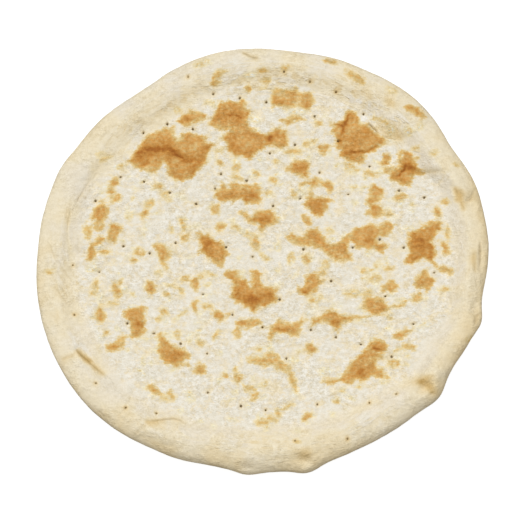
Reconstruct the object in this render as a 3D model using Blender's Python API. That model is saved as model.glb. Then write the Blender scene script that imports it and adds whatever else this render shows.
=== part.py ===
"""A par-baked pizza crust of twelve inches: a docked floor inside a puffed, hand-stretched rim.

The crust is one closed solid. Its section runs from the middle of the floor over an inner slope, a rounded
crown and a quarter-round wall to a foot that turns under to the flat base. The section is carried round the
middle, and swells change its radius, width and height with the bearing. Lobes and folds then raise and
crease its top, and rows of pins prick its floor.

Lengths are in millimetres until the mesh is written, and bearings in degrees, anticlockwise from +X. The
base lies on z = 0.
"""
import math

import bmesh
import bpy
import numpy as np

MM = 0.001

# Outline: the widest point of the wall, seen from above.
MEAN_RADIUS = 151.6
OVAL = 2.8                      # the outline is longest along OVAL_BEARING
OVAL_BEARING = 33.0
THREE_SIDED = 1.0
THREE_SIDED_BEARING = -34.0
OUTLINE_SWELLS = (              # bearing, half spread, amount outwards
    (6, 6, 0.7), (20, 7, 1.1), (32, 7, -2.2), (42, 8, 0.6), (51, 8, 1.1), (64, 6, -0.7), (81, 9, -1.7),
    (102, 12, 1.2), (124, 9, -2.2), (138, 8, 0.4), (155, 6, 2.0), (165, 7, 0.8), (183, 12, -0.8),
    (220, 12, 1.1), (241, 7, -0.9), (256, 8, -2.2), (266, 3.2, 2.0), (281.5, 4, 3.8), (298, 9, -1.0),
    (320.5, 4.5, 3.2), (330, 6, -1.9), (343.5, 3.5, 2.6), (351, 6, -1.6),
)

# Section sizes, and how they swell round the rim.
FLOOR_HEIGHT = 8.0
RIM_WIDTH = 25.0                # from the widest point in to the floor
RIM_WIDTH_SWELLS = (
    (272, 26, 9.5), (42, 22, 3.0), (95, 36, 3.5), (165, 26, 2.5), (206, 9, -1.5), (334, 11, -4.0),
    (225, 10, 2.0),
)
CROWN_HEIGHT = 14.8
CROWN_HEIGHT_SWELLS = (
    (272, 34, 2.2), (10, 26, -0.9), (95, 38, -2.1), (150, 34, -2.2), (182, 22, -2.0), (206, 14, -1.4),
    (238, 8, -1.0), (318, 9, 1.2), (342, 8, -0.8),
)
CROWN_INSET = 0.5               # share of the rim's width from the widest point in to the crown
WAIST_HEIGHT = 7.4              # height of the widest point
FOOT_INSET = 6.5                # how far the base's edge lies inside the widest point

# The places on the top, below, are sighted along a line that leans 18 degrees from upright towards -Y.
SIGHT_LEAN = 0.325              # how far towards +Y a point is sighted for each millimetre above the floor
SIGHT_START = (0.5, -1.3)       # where the point sighted at x = y = 0 lies on the floor

# Lobes on the top: x, y, length, width, turn, height.
BLISTERS = (
    (-64, 80, 46, 26, 8, 1.7), (-70, 68, 30, 16, 20, 0.9), (-22, 104, 26, 22, -30, 1.2),
    (-12, 82, 26, 18, -20, 1.2), (12, 117, 26, 14, -8, 1.0), (66, 92, 30, 24, -50, 1.9),
    (96, 66, 22, 20, 40, 1.5), (-16, 48, 30, 12, -8, 1.0), (1, 31, 22, 9, -8, 0.8),
    (38, 40, 20, 13, 0, 0.9), (-35, 9, 22, 14, -45, 1.1), (-6, -23, 34, 24, 0, 1.5),
    (50, 13, 34, 12, -28, 1.0), (76, 19, 40, 14, 18, 1.0), (107, 11, 22, 22, 50, 1.5),
    (102, -13, 14, 12, 20, 1.2), (70, -66, 40, 22, 40, 1.3), (-60, -61, 24, 18, -50, 1.3),
    (-86, -43, 18, 16, 80, 1.2), (76, -31, 18, 11, -10, 0.9), (-105, 30, 30, 14, 70, 1.0),
    (14, -49, 26, 10, 10, 0.9), (2, -73, 30, 9, -12, 0.9), (44, -40, 36, 10, 8, 0.9),
)
RIM_BULGES = (
    (90, 97, 40, 19, -41, 3.2), (131, 56, 24, 13, -62, 2.4), (-70, -122, 40, 15, -12, 1.6),
    (-119, -55, 30, 11, -58, 1.5), (14, -135, 36, 13, 4, 1.4), (38, -141, 22, 10, 20, 1.6),
    (116, -82, 22, 10, 45, 1.5), (-137, 24, 44, 12, 86, 1.0), (-112, 92, 40, 14, 50, 1.1),
    (6, 139, 46, 10, 2, 1.0), (139, -12, 34, 11, 84, 1.2), (-138, -34, 30, 11, 100, 0.9),
)
DIMPLES = (
    (108, -88, 15, 8, 40, -4.6), (28, -140, 16, 9, -22, -4.2), (-12, -144, 15, 7, -10, -3.0),
    (112, 60, 22, 12, -35, -3.4), (-118, 33, 34, 9, 84, -1.0), (143, -33, 16, 8, 72, -3.0),
    (84, 74, 22, 10, -45, -1.6),
)
# Folds in the dough: the bent line along the bottom, its half width and its depth.
FOLDS = (
    (((-129, 46), (-131.5, 28), (-131, 4)), 2.6, 0.9),
    (((-127, -60), (-118, -67), (-106, -80)), 2.6, 1.4),
    (((-83, -112), (-68, -109.5), (-50, -114)), 2.6, 1.2),
    (((66, 108), (76, 99), (90, 85)), 2.8, 2.2),
    (((127, 53), (136, 45), (145, 39)), 2.8, 2.4),
    (((146.5, 10), (145, -8)), 2.4, 1.8),
    (((-18, 147), (-8, 143), (2, 142)), 2.4, 1.2),
    (((97, 68), (92, 58)), 2.4, 1.5),
)

# Rows of pricked holes: first hole's x and y, number of holes, bearing of the row, pitch.
PRICK_ROWS = (
    (-50.9, 132.2, 1, 0, 0), (14.3, 136, 3, -22.5, 19.1), (68.3, 105.6, 1, 0, 0), (-33.8, 120, 3, -9, 18.3),
    (35.2, 104, 1, 0, 0), (-81.1, 92, 1, 0, 0), (-65, 98.4, 2, -11.5, 17.7), (51, 86.2, 1, 0, 0),
    (4.6, 77.3, 2, 20, 18.2), (38.3, 63.5, 1, 0, 0), (57.7, 47.8, 1, 0, 0), (72.2, 67.9, 1, 0, 0),
    (92.1, 50.7, 2, -16, 17.8), (-80.6, 57, 3, -24, 19.3), (-113.4, 43.4, 1, 0, 0), (-96.5, 60.3, 1, 0, 0),
    (-28.4, 62.5, 2, -15, 17.9), (6.8, 39.8, 2, 16, 19.1), (-32.5, 52.2, 1, 0, 0),
    (78.9, 15.9, 2, -20, 17.2), (60.6, 10.1, 1, 0, 0), (115.5, -7.8, 1, 0, 0), (27.3, 8.9, 1, 0, 0),
    (46, -13.6, 1, 0, 0), (-24.9, 10.4, 2, -21, 19.1), (82.5, -24.5, 1, 0, 0), (101.3, -44.1, 1, 0, 0),
    (-94.3, 11.1, 2, -16, 18.6), (-59.1, 13.3, 1, 0, 0), (11.3, -26.7, 1, 0, 0),
    (32.2, -48.2, 3, -17, 17.6), (86.5, -67.1, 1, 0, 0), (-40.5, -23.1, 1, 0, 0),
    (-20.6, -37.6, 2, -23.5, 22.1), (15.7, -68.5, 1, 0, 0), (-128.3, -2.6, 2, -15, 18.4),
    (-91.3, -43.6, 4, -21.7, 19.3), (71.4, -99.6, 2, 19.5, 19.1), (36.5, -100.7, 1, 0, 0),
    (-127, -37.7, 1, 0, 0), (-37, -92.4, 1, 0, 0), (-14.8, -101.8, 2, -10, 16.9), (56.6, -124.5, 1, 0, 0),
    (21.5, -125.9, 1, 0, 0), (-112.1, -85.7, 1, 0, 0), (-91.9, -102.7, 2, -11.5, 20.8),
)
PRICK_RADIUS = 0.9
PRICK_DEPTH = 3.2
PRICK_SIDES = 6
PIN_LENGTH = 8.0

# Mesh: sectors double outwards, so that the facets stay about as long as they are wide.
RIM_SECTORS = 152
FLOOR_RINGS = 22
SLOPE_RINGS = 6
WALL_RINGS = 6
FOOT_RINGS = 3
SECTOR_STEPS = ((0.10, 8), (0.24, 4), (0.48, 2))    # below this share of the floor, sectors over this number
SHARP_ANGLE = 50.0

# Stations along the section.
FLOOR_EDGE = 1.0
CROWN = 2.0
WIDEST = 3.0
FOOT = 4.0
RELIEF_FADE = 0.7               # stations above the widest point over which the lobes and folds fade out

DOUGH_COLOUR = (0.80, 0.70, 0.50)
DOUGH_ROUGHNESS = 0.85


def swell(bearing, swells):
    """Sum of bell curves round the rim, each of them (bearing, half spread, amount)."""
    total = np.zeros_like(bearing)
    for at, spread, amount in swells:
        away = (bearing - at + 180.0) % 360.0 - 180.0
        total += amount * np.exp(-(away / spread) ** 2)
    return total


def outline_radius(bearing):
    """Radius of the widest point: a circle, made oval and faintly three-sided, with its swells."""
    oval = OVAL * np.cos(np.radians(2.0 * (bearing - OVAL_BEARING)))
    three = THREE_SIDED * np.cos(np.radians(3.0 * (bearing - THREE_SIDED_BEARING)))
    return MEAN_RADIUS + oval + three + swell(bearing, OUTLINE_SWELLS)


def section(station, bearing):
    """Radius and height at one station of the section, for an array of bearings.

    The floor is level, the inner slope rises as a smoothstep, and the wall is a quarter ellipse from the
    crown to the widest point and another from there to the foot.
    """
    radius = outline_radius(bearing)
    width = RIM_WIDTH + swell(bearing, RIM_WIDTH_SWELLS)
    crown = CROWN_HEIGHT + swell(bearing, CROWN_HEIGHT_SWELLS)
    inset = CROWN_INSET * width
    if station <= FLOOR_EDGE:
        return station * (radius - width), np.full_like(bearing, FLOOR_HEIGHT)
    if station <= CROWN:
        share = station - FLOOR_EDGE
        rise = share * share * (3.0 - 2.0 * share)
        return radius - width + share * (width - inset), FLOOR_HEIGHT + rise * (crown - FLOOR_HEIGHT)
    if station <= WIDEST:
        turn = (station - CROWN) * math.pi / 2
        return (radius - inset * (1.0 - math.sin(turn)),
                WAIST_HEIGHT + (crown - WAIST_HEIGHT) * math.cos(turn))
    turn = (station - WIDEST) * math.pi / 2
    return (radius - FOOT_INSET * (1.0 - math.cos(turn)),
            np.full_like(bearing, WAIST_HEIGHT * (1.0 - math.sin(turn))))


def lobe(x, y, at_x, at_y, length, width, turn):
    """Bell-shaped lobe: 1 at its middle, near 0 half its length or width away."""
    c, s = math.cos(math.radians(turn)), math.sin(math.radians(turn))
    along = ((x - at_x) * c + (y - at_y) * s) / (0.5 * length)
    across = ((y - at_y) * c - (x - at_x) * s) / (0.5 * width)
    return np.exp(-1.6 * (along ** 2 + across ** 2))


def fold(x, y, line, half_width):
    """Groove along a bent line: 1 on the line, bell-shaped across it, and fading out at both ends."""
    corners = np.array(line, float)
    lengths = np.hypot(*np.diff(corners, axis=0).T)
    whole, start = lengths.sum(), 0.0
    near = np.full_like(x, np.inf)
    place = np.zeros_like(x)
    for a, b, length in zip(corners[:-1], corners[1:], lengths):
        share = np.clip(((x - a[0]) * (b[0] - a[0]) + (y - a[1]) * (b[1] - a[1])) / length ** 2, 0.0, 1.0)
        away = np.hypot(x - a[0] - share * (b[0] - a[0]), y - a[1] - share * (b[1] - a[1]))
        closer = away < near
        place = np.where(closer, (start + share * length) / whole, place)
        near = np.where(closer, away, near)
        start += length
    return np.exp(-(near / half_width) ** 2) * (1.0 - (2.0 * place - 1.0) ** 4)


def relief(x, y, height):
    """Height that the blisters, bulges, dimples and folds add where the section has the height given."""
    x = x - SIGHT_START[0]
    y = y - SIGHT_START[1] + SIGHT_LEAN * (height - FLOOR_HEIGHT)
    total = np.zeros_like(x)
    for at_x, at_y, length, width, turn, rise in BLISTERS + RIM_BULGES + DIMPLES:
        total += rise * lobe(x, y, at_x, at_y, length, width, turn)
    for line, half_width, depth in FOLDS:
        total -= depth * fold(x, y, line, half_width)
    return total


def ring_points(station, sectors):
    """Points of one ring round the crust, as an array of x, y, z."""
    bearing = np.arange(sectors) * 360.0 / sectors
    radius, height = section(station, bearing)
    x = radius * np.cos(np.radians(bearing))
    y = radius * np.sin(np.radians(bearing))
    weight = min(1.0, max(0.0, (WIDEST - station) / RELIEF_FADE))
    return np.column_stack((x, y, height + weight * relief(x, y, height)))


def stations():
    """Each ring's station and number of sectors, from the middle of the floor to the foot."""
    rings = []
    for step in range(1, FLOOR_RINGS + 1):
        share = step / FLOOR_RINGS
        divide = next((by for below, by in SECTOR_STEPS if share < below), 1)
        rings.append((share * FLOOR_EDGE, RIM_SECTORS // divide))
    for start, count in ((FLOOR_EDGE, SLOPE_RINGS), (CROWN, WALL_RINGS), (WIDEST, FOOT_RINGS)):
        rings += [(start + step / count, RIM_SECTORS) for step in range(1, count + 1)]
    return rings


def surface_height(x, y):
    """Height of the top at one point, found by halving along its bearing."""
    bearing = np.array([math.degrees(math.atan2(y, x)) % 360.0])
    low, high = 0.0, WIDEST
    for _ in range(30):
        middle = 0.5 * (low + high)
        if section(middle, bearing)[0][0] < math.hypot(x, y):
            low = middle
        else:
            high = middle
    height = section(low, bearing)[1]
    weight = min(1.0, max(0.0, (WIDEST - low) / RELIEF_FADE))
    return height[0] + weight * relief(np.array([x]), np.array([y]), height)[0]


def prick_places():
    """Where the holes are: x and y of each one, and the height of the top there.

    A hole's place is worked back from where it is sighted, by stepping to it with the height found last.
    """
    places = []
    for first_x, first_y, count, turn, pitch in PRICK_ROWS:
        for step in range(count):
            x = SIGHT_START[0] + first_x + step * pitch * math.cos(math.radians(turn))
            sighted_y = SIGHT_START[1] + first_y + step * pitch * math.sin(math.radians(turn))
            height = FLOOR_HEIGHT
            for _ in range(8):
                y = sighted_y - SIGHT_LEAN * (height - FLOOR_HEIGHT)
                height = surface_height(x, y)
            places.append((x, y, height))
    return places


def join_rings(bm, inner, outer):
    """Faces between two rings that have the same number of vertices, or twice as many outside."""
    count = len(inner)
    for k in range(count):
        after = (k + 1) % count
        if len(outer) == count:
            bm.faces.new((inner[k], outer[k], outer[after], inner[after]))
        else:
            middle = outer[2 * k + 1]
            bm.faces.new((inner[k], outer[2 * k], middle))
            bm.faces.new((inner[k], middle, inner[after]))
            bm.faces.new((inner[after], middle, outer[2 * after]))


def plain_material(name, colour, roughness):
    """Principled material of one colour."""
    material = bpy.data.materials.new(name)
    material.use_nodes = True
    shader = material.node_tree.nodes["Principled BSDF"]
    shader.inputs["Base Color"].default_value = (*colour, 1.0)
    shader.inputs["Roughness"].default_value = roughness
    shader.inputs["Metallic"].default_value = 0.0
    return material


def add_object(name, bm):
    """Turn a bmesh into an object of that name."""
    mesh = bpy.data.meshes.new(name)
    bm.to_mesh(mesh)
    bm.free()
    item = bpy.data.objects.new(name, mesh)
    bpy.context.scene.collection.objects.link(item)
    return item


def make_crust(centre):
    """The closed shell: rings of vertices from the floor's middle to the foot, and one flat base."""
    bm = bmesh.new()
    middle = bm.verts.new(((-centre[0]) * MM, (-centre[1]) * MM, surface_height(0.0, 0.0) * MM))
    inner = None
    for station, sectors in stations():
        points = (ring_points(station, sectors) - centre) * MM
        outer = [bm.verts.new(point) for point in points.tolist()]
        if inner is None:
            for k in range(sectors):
                bm.faces.new((middle, outer[k], outer[(k + 1) % sectors]))
        else:
            join_rings(bm, inner, outer)
        inner = outer
    bm.faces.new(inner[::-1])
    crust = add_object("crust", bm)
    crust.data.shade_smooth()
    crust.data.set_sharp_from_angle(angle=math.radians(SHARP_ANGLE))
    crust.data.materials.append(plain_material("baked_dough", DOUGH_COLOUR, DOUGH_ROUGHNESS))
    return crust


def make_pins(centre):
    """The docking pins: one cone for each hole, its tip PRICK_DEPTH under the surface."""
    bm = bmesh.new()
    wide = PRICK_RADIUS * PIN_LENGTH / PRICK_DEPTH
    for x, y, height in prick_places():
        cone = bmesh.ops.create_cone(bm, cap_ends=True, segments=PRICK_SIDES, radius1=0.0,
                                     radius2=wide * MM, depth=PIN_LENGTH * MM)
        middle = height - PRICK_DEPTH + 0.5 * PIN_LENGTH
        place = ((x - centre[0]) * MM, (y - centre[1]) * MM, middle * MM)
        bmesh.ops.translate(bm, vec=place, verts=cone["verts"])
    bmesh.ops.remove_doubles(bm, verts=bm.verts, dist=0.01 * MM)
    pins = add_object("docking_pins", bm)
    pins.hide_render = True
    pins.display_type = "WIRE"
    return pins


def outline_centre():
    """Middle of the outline's box, which becomes the origin."""
    points = ring_points(WIDEST, RIM_SECTORS)[:, :2]
    return np.array([*(0.5 * (points.min(axis=0) + points.max(axis=0))), 0.0])


def main():
    for item in list(bpy.data.objects):
        bpy.data.objects.remove(item)
    centre = outline_centre()
    crust = make_crust(centre)
    prick = crust.modifiers.new("prick", "BOOLEAN")
    prick.operation = "DIFFERENCE"
    prick.solver = "EXACT"
    prick.object = make_pins(centre)


main()
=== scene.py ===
"""Looks of the par-baked pizza crust: one closed skin with its blisters, folds, pricked holes and browning.

Lengths are in millimetres until a mesh is written, bearings and turns in degrees, anticlockwise from +X. The
crust's outline, section and relief are worked out as they are for its solid, and the skin adds what is finer.
"""
import itertools
import math

import bpy
import numpy as np
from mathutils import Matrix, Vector


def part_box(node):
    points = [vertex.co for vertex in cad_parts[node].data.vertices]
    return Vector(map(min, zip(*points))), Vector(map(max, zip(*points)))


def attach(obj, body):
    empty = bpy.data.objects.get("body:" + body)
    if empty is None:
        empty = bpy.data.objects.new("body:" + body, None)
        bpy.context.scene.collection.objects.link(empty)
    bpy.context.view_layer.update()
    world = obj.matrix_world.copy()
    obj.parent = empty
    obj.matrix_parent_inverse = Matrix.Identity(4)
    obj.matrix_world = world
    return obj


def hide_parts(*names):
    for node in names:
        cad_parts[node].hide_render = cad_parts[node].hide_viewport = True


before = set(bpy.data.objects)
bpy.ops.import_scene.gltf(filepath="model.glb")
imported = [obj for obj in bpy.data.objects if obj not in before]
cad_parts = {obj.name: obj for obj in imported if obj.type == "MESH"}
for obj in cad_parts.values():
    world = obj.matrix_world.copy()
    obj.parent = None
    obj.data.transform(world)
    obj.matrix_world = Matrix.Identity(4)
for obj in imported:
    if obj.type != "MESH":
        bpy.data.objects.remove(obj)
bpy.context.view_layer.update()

MM = 0.001

# ---------------------------------------------------------------- outline and section, as the solid has them
MEAN_RADIUS = 151.6
OVAL = 2.8
OVAL_BEARING = 33.0
THREE_SIDED = 1.0
THREE_SIDED_BEARING = -34.0
OUTLINE_SWELLS = (              # bearing, half spread, amount outwards
    (6, 6, 0.7), (20, 7, 1.1), (32, 7, -2.2), (42, 8, 0.6), (51, 8, 1.1), (64, 6, -0.7), (81, 9, -1.7),
    (102, 12, 1.2), (124, 9, -2.2), (138, 8, 0.4), (155, 6, 2), (165, 7, 0.8), (183, 12, -0.8),
    (220, 12, 1.1), (241, 7, -0.9), (256, 8, -2.2), (266, 3.2, 2), (281.5, 4, 3.8), (298, 9, -1),
    (320.5, 4.5, 3.2), (330, 6, -1.9), (343.5, 3.5, 2.6), (351, 6, -1.6),
)
FLOOR_HEIGHT = 8.0
RIM_WIDTH = 25.0
RIM_WIDTH_SWELLS = (
    (272, 26, 9.5), (42, 22, 3), (95, 36, 3.5), (165, 26, 2.5), (206, 9, -1.5), (334, 11, -4), (225, 10, 2),
)
CROWN_HEIGHT = 14.8
CROWN_HEIGHT_SWELLS = (
    (272, 34, 2.2), (10, 26, -0.9), (95, 38, -2.1), (150, 34, -2.2), (182, 22, -2), (206, 14, -1.4),
    (238, 8, -1), (318, 9, 1.2), (342, 8, -0.8),
)
CROWN_INSET = 0.5
WAIST_HEIGHT = 7.4
FOOT_INSET = 6.5
RELIEF_FADE = (3.0, 0.7)        # station by which the relief has faded out, and over how many stations
FOLD_SHARE = 0.6                # share of the folds' depth that is left beside the finer tucks

# The places on the top, from here on, are sighted along a line that leans 18 degrees from upright towards -Y.
SIGHT_LEAN = 0.325              # how far towards +Y a point is sighted for each millimetre above the floor
SIGHT_START = (0.5, -1.3)       # where the point sighted at x = y = 0 lies on the floor
LOBE_STEEPNESS = 1.6

# Lobes on the top: x, y, length, width, turn, height.
BLISTERS = (
    (-64, 80, 46, 26, 8, 1.7), (-70, 68, 30, 16, 20, 0.9), (-22, 104, 26, 22, -30, 1.2),
    (-12, 82, 26, 18, -20, 1.2), (12, 117, 26, 14, -8, 1), (66, 92, 30, 24, -50, 1.9),
    (96, 66, 22, 20, 40, 1.5), (-16, 48, 30, 12, -8, 1), (1, 31, 22, 9, -8, 0.8), (38, 40, 20, 13, 0, 0.9),
    (-35, 9, 22, 14, -45, 1.1), (-6, -23, 34, 24, 0, 1.5), (50, 13, 34, 12, -28, 1),
    (76, 19, 40, 14, 18, 1), (107, 11, 22, 22, 50, 1.5), (102, -13, 14, 12, 20, 1.2),
    (70, -66, 40, 22, 40, 1.3), (-60, -61, 24, 18, -50, 1.3), (-86, -43, 18, 16, 80, 1.2),
    (76, -31, 18, 11, -10, 0.9), (-105, 30, 30, 14, 70, 1), (14, -49, 26, 10, 10, 0.9),
    (2, -73, 30, 9, -12, 0.9), (44, -40, 36, 10, 8, 0.9),
)
RIM_BULGES = (
    (90, 97, 40, 19, -41, 3.2), (131, 56, 24, 13, -62, 2.4), (-70, -122, 40, 15, -12, 1.6),
    (-119, -55, 30, 11, -58, 1.5), (14, -135, 36, 13, 4, 1.4), (38, -141, 22, 10, 20, 1.6),
    (116, -82, 22, 10, 45, 1.5), (-137, 24, 44, 12, 86, 1), (-112, 92, 40, 14, 50, 1.1),
    (6, 139, 46, 10, 2, 1), (139, -12, 34, 11, 84, 1.2), (-138, -34, 30, 11, 100, 0.9),
)
DIMPLES = (
    (108, -88, 15, 8, 40, -4.6), (28, -140, 16, 9, -22, -4.2), (-12, -144, 15, 7, -10, -3),
    (112, 60, 22, 12, -35, -3.4), (-118, 33, 34, 9, 84, -1), (143, -33, 16, 8, 72, -3),
    (84, 74, 22, 10, -45, -1.6),
)
# Folds: the bent line along the bottom, its half width and its depth.
FOLDS = (
    (((-129, 46), (-131.5, 28), (-131, 4)), 2.6, 0.5), (((-127, -60), (-118, -67), (-106, -80)), 2.6, 1.4),
    (((-83, -112), (-68, -109.5), (-50, -114)), 2.6, 1.2), (((66, 108), (76, 99), (90, 85)), 2.8, 2.2),
    (((127, 53), (136, 45), (145, 39)), 2.8, 2.4), (((146.5, 10), (145, -8)), 2.4, 1.8),
    (((-18, 147), (-8, 143), (2, 142)), 2.4, 1.2), (((97, 68), (92, 58)), 2.4, 1.5),
)
# Pricked holes: x and y of one, and for a row of them also how many, the row's bearing and its pitch.
PRICK_ROWS = (
    (-50.9, 132.2), (14.3, 136, 3, -22.5, 19.1), (68.3, 105.6), (-33.8, 120, 3, -9, 18.3), (35.2, 104),
    (-81.1, 92), (-65, 98.4, 2, -11.5, 17.7), (51, 86.2), (4.6, 77.3, 2, 20, 18.2), (38.3, 63.5),
    (57.7, 47.8), (72.2, 67.9), (92.1, 50.7, 2, -16, 17.8), (-80.6, 57, 3, -24, 19.3), (-113.4, 43.4),
    (-96.5, 60.3), (-28.4, 62.5, 2, -15, 17.9), (6.8, 39.8, 2, 16, 19.1), (-32.5, 52.2),
    (78.9, 15.9, 2, -20, 17.2), (60.6, 10.1), (115.5, -7.8), (27.3, 8.9), (46, -13.6),
    (-24.9, 10.4, 2, -21, 19.1), (82.5, -24.5), (101.3, -44.1), (-94.3, 11.1, 2, -16, 18.6), (-59.1, 13.3),
    (11.3, -26.7), (32.2, -48.2, 3, -17, 17.6), (86.5, -67.1), (-40.5, -23.1),
    (-20.6, -37.6, 2, -23.5, 22.1), (15.7, -68.5), (-128.3, -2.6, 2, -15, 18.4),
    (-91.3, -43.6, 4, -21.7, 19.3), (71.4, -99.6, 2, 19.5, 19.1), (36.5, -100.7), (-127, -37.7),
    (-37, -92.4), (-14.8, -101.8, 2, -10, 16.9), (56.6, -124.5), (21.5, -125.9), (-112.1, -85.7),
    (-91.9, -102.7, 2, -11.5, 20.8),
)

# ---------------------------------------------------------------- finer folds
# Tucks: bent line, half width, depth, lip raised on the line's left (minus: on its right), share of olive
# painted shade in the bottom, straw tone beside it.
TUCKS = (
    (((-126, -61.6), (-122.6, -65.6), (-119.6, -68.4), (-115, -72.2)), 0.8, 0.7, -0.3, 0.56, 0.2),
    (((-121.5, -68), (-116.5, -71.6), (-111.5, -76), (-105, -81.2)), 0.8, 0.4, -0.2, 0.32, 0.13),
    (((-121, -64.6), (-117.5, -68.6), (-113, -72)), 0.5, 0.3, 0, 0.3, 0.04),
    (((-136, -69.8), (-130, -67), (-125, -64.8)), 0.9, 0.5, -0.4, 0.16, 0.05),
    (((-81, -111.6), (-73.4, -112.3), (-66.5, -111.3), (-60.1, -110.8), (-55.7, -111.9), (-51.3, -114.6)),
        0.6, 0.6, 0.3, 0.45, 0.05), (((-80, -113.5), (-72, -114), (-64, -113)), 1.4, 0.2, 0, 0.1, 0.1),
    (((-77, -113.5), (-82.5, -118.5), (-85.8, -121.6), (-88, -125)), 0.8, 0.8, 0.5, 0.2, 0),
    (((-112, -104), (-107, -108), (-102, -110.5)), 0.8, 0.6, 0.3, 0.35, 0),
    (((71.6, 99.6), (72.2, 97.9), (73.9, 96.9), (74.5, 95.2), (76.2, 94.2), (77.2, 92.5), (79.4, 91.2)),
        0.5, 1.1, -1, 0.55, 0.06),
    (((79.4, 91.2), (82, 89.2), (86, 87.6), (91, 86.6)), 0.5, 0.6, -0.5, 0.3, 0),
    (((72, 98.4), (73.4, 97), (74.4, 95.6)), 0.8, 0.2, 0, 0.7, 0),
    (((66, 104), (69, 100.6), (72.5, 97)), 2.4, -0.3, 0, 0, -0.05),
    (((76, 100), (84, 92.5), (96, 87)), 2.2, 0.3, 0, 0.1, 0.08),
    (((-14.8, 149.8), (-7.4, 146.2), (-2.6, 145.2)), 0.6, 0.6, 0.2, 0.5, 0.08),
    (((42, 144.3), (45, 143.7), (49, 141.4)), 0.6, 0.5, 0.2, 0.4, 0.15),
    (((-48, 139.5), (-43, 141.8), (-36.5, 142.4)), 1.2, 0.3, 0, 0.15, 0.06),
    (((-130.2, 44), (-130.4, 34.7), (-131.9, 25.8), (-132.2, 20.5), (-131.5, 14.3), (-129.6, 3.5)),
        0.5, 0.35, 0.2, 0.12, 0.04), (((-132.8, 42), (-132.9, 33), (-131.8, 25)), 0.5, 0.2, 0, 0.08, 0.04),
    (((-136, 64.5), (-131, 60.5), (-125, 58), (-118, 56.5)), 1.6, 0.45, 0.2, 0.03, 0),
    (((-112, 63.5), (-119, 54), (-124, 45), (-127, 37)), 0.6, 0.5, 0.2, 0.15, 0),
    (((-114.5, 62.5), (-121, 52), (-126, 42), (-129.5, 34)), 0.6, 0.4, 0.2, 0.12, 0),
    (((-143, 2), (-138, -9), (-130, -20)), 0.5, 0.35, 0, 0.18, 0.02),
    (((-140, 4), (-134, -7), (-127, -17)), 0.5, 0.35, 0, 0.18, 0.02),
    (((-145, -6), (-139, -15), (-131, -26)), 0.5, 0.35, 0, 0.16, 0.02),
    (((-136, 5), (-131, -4), (-126, -12)), 0.5, 0.35, 0, 0.14, 0.02),
    (((-143, -13), (-137, -23), (-130, -32)), 0.5, 0.3, 0, 0.14, 0.02),
    (((-144, 12), (-141, 4), (-137, -3)), 0.5, 0.3, 0, 0.14, 0.02),
    (((146.4, 15.5), (146.2, 4), (146, -8.5)), 0.6, 1.2, -0.4, 0.5, 0),
    (((142.6, 8), (142.2, 1), (143.2, -9)), 0.6, 0.3, 0, 0.15, 0.05),
    (((139, 12), (139.5, 0), (138.5, -12)), 0.6, 0.3, 0.2, 0.1, 0.02),
    (((142.6, -45), (143.7, -38.8), (147.3, -35.7)), 1.2, 1.3, 0.4, 0.35, 0),
    (((129.4, 54), (131.2, 47), (131.2, 41)), 0.9, 0.6, 0.2, 0.1, 0.16),
    (((133.4, 52), (133.8, 44), (136, 35)), 0.8, 0.8, 0.3, 0.15, 0.14),
    (((143, 52), (140.5, 44.5), (134.5, 40.5)), 1.4, 1.1, -0.5, 0.2, 0),
    (((103.5, -85.6), (106, -84.6), (109.5, -82)), 0.8, 0.4, 0.2, 0.25, 0.04),
    (((105, -84.4), (107.6, -87)), 0.6, 0.4, 0, 0.5, 0.04),
    (((-94, 110), (-86, 114), (-76, 119)), 0.5, 0.35, 0.2, 0.12, 0),
    (((52.5, 78.7), (58.4, 77.1), (69.4, 77.9), (74.5, 81), (79.6, 84)), 0.9, 0.5, 0.35, 0, 0),
    (((49, 84), (54, 81), (60, 82), (66, 81)), 0.9, 0.3, 0.25, 0, 0),
    (((54, 88), (60, 86.5), (68, 87)), 0.9, 0.25, 0.25, 0, 0),
    (((-84, 79.4), (-76.7, 80.2), (-69.4, 81.4), (-63.5, 80.2), (-59.1, 75.6), (-54.7, 73.3),
        (-42.4, 71.7)), 1.6, 0.6, 0.5, 0, 0),
    (((97, 71), (95.7, 65.6), (92.8, 61.7), (89.9, 59.4)), 0.9, 0.9, 0.3, 0, 0),
    (((-130, 6.5), (-120, 5.5), (-108, 8), (-97, 12)), 2.6, 0.8, -0.7, 0, 0),
    (((100, 66), (108, 63.5), (124, 65)), 1.4, 0.9, 0.4, 0.25, 0.03),
)

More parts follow.
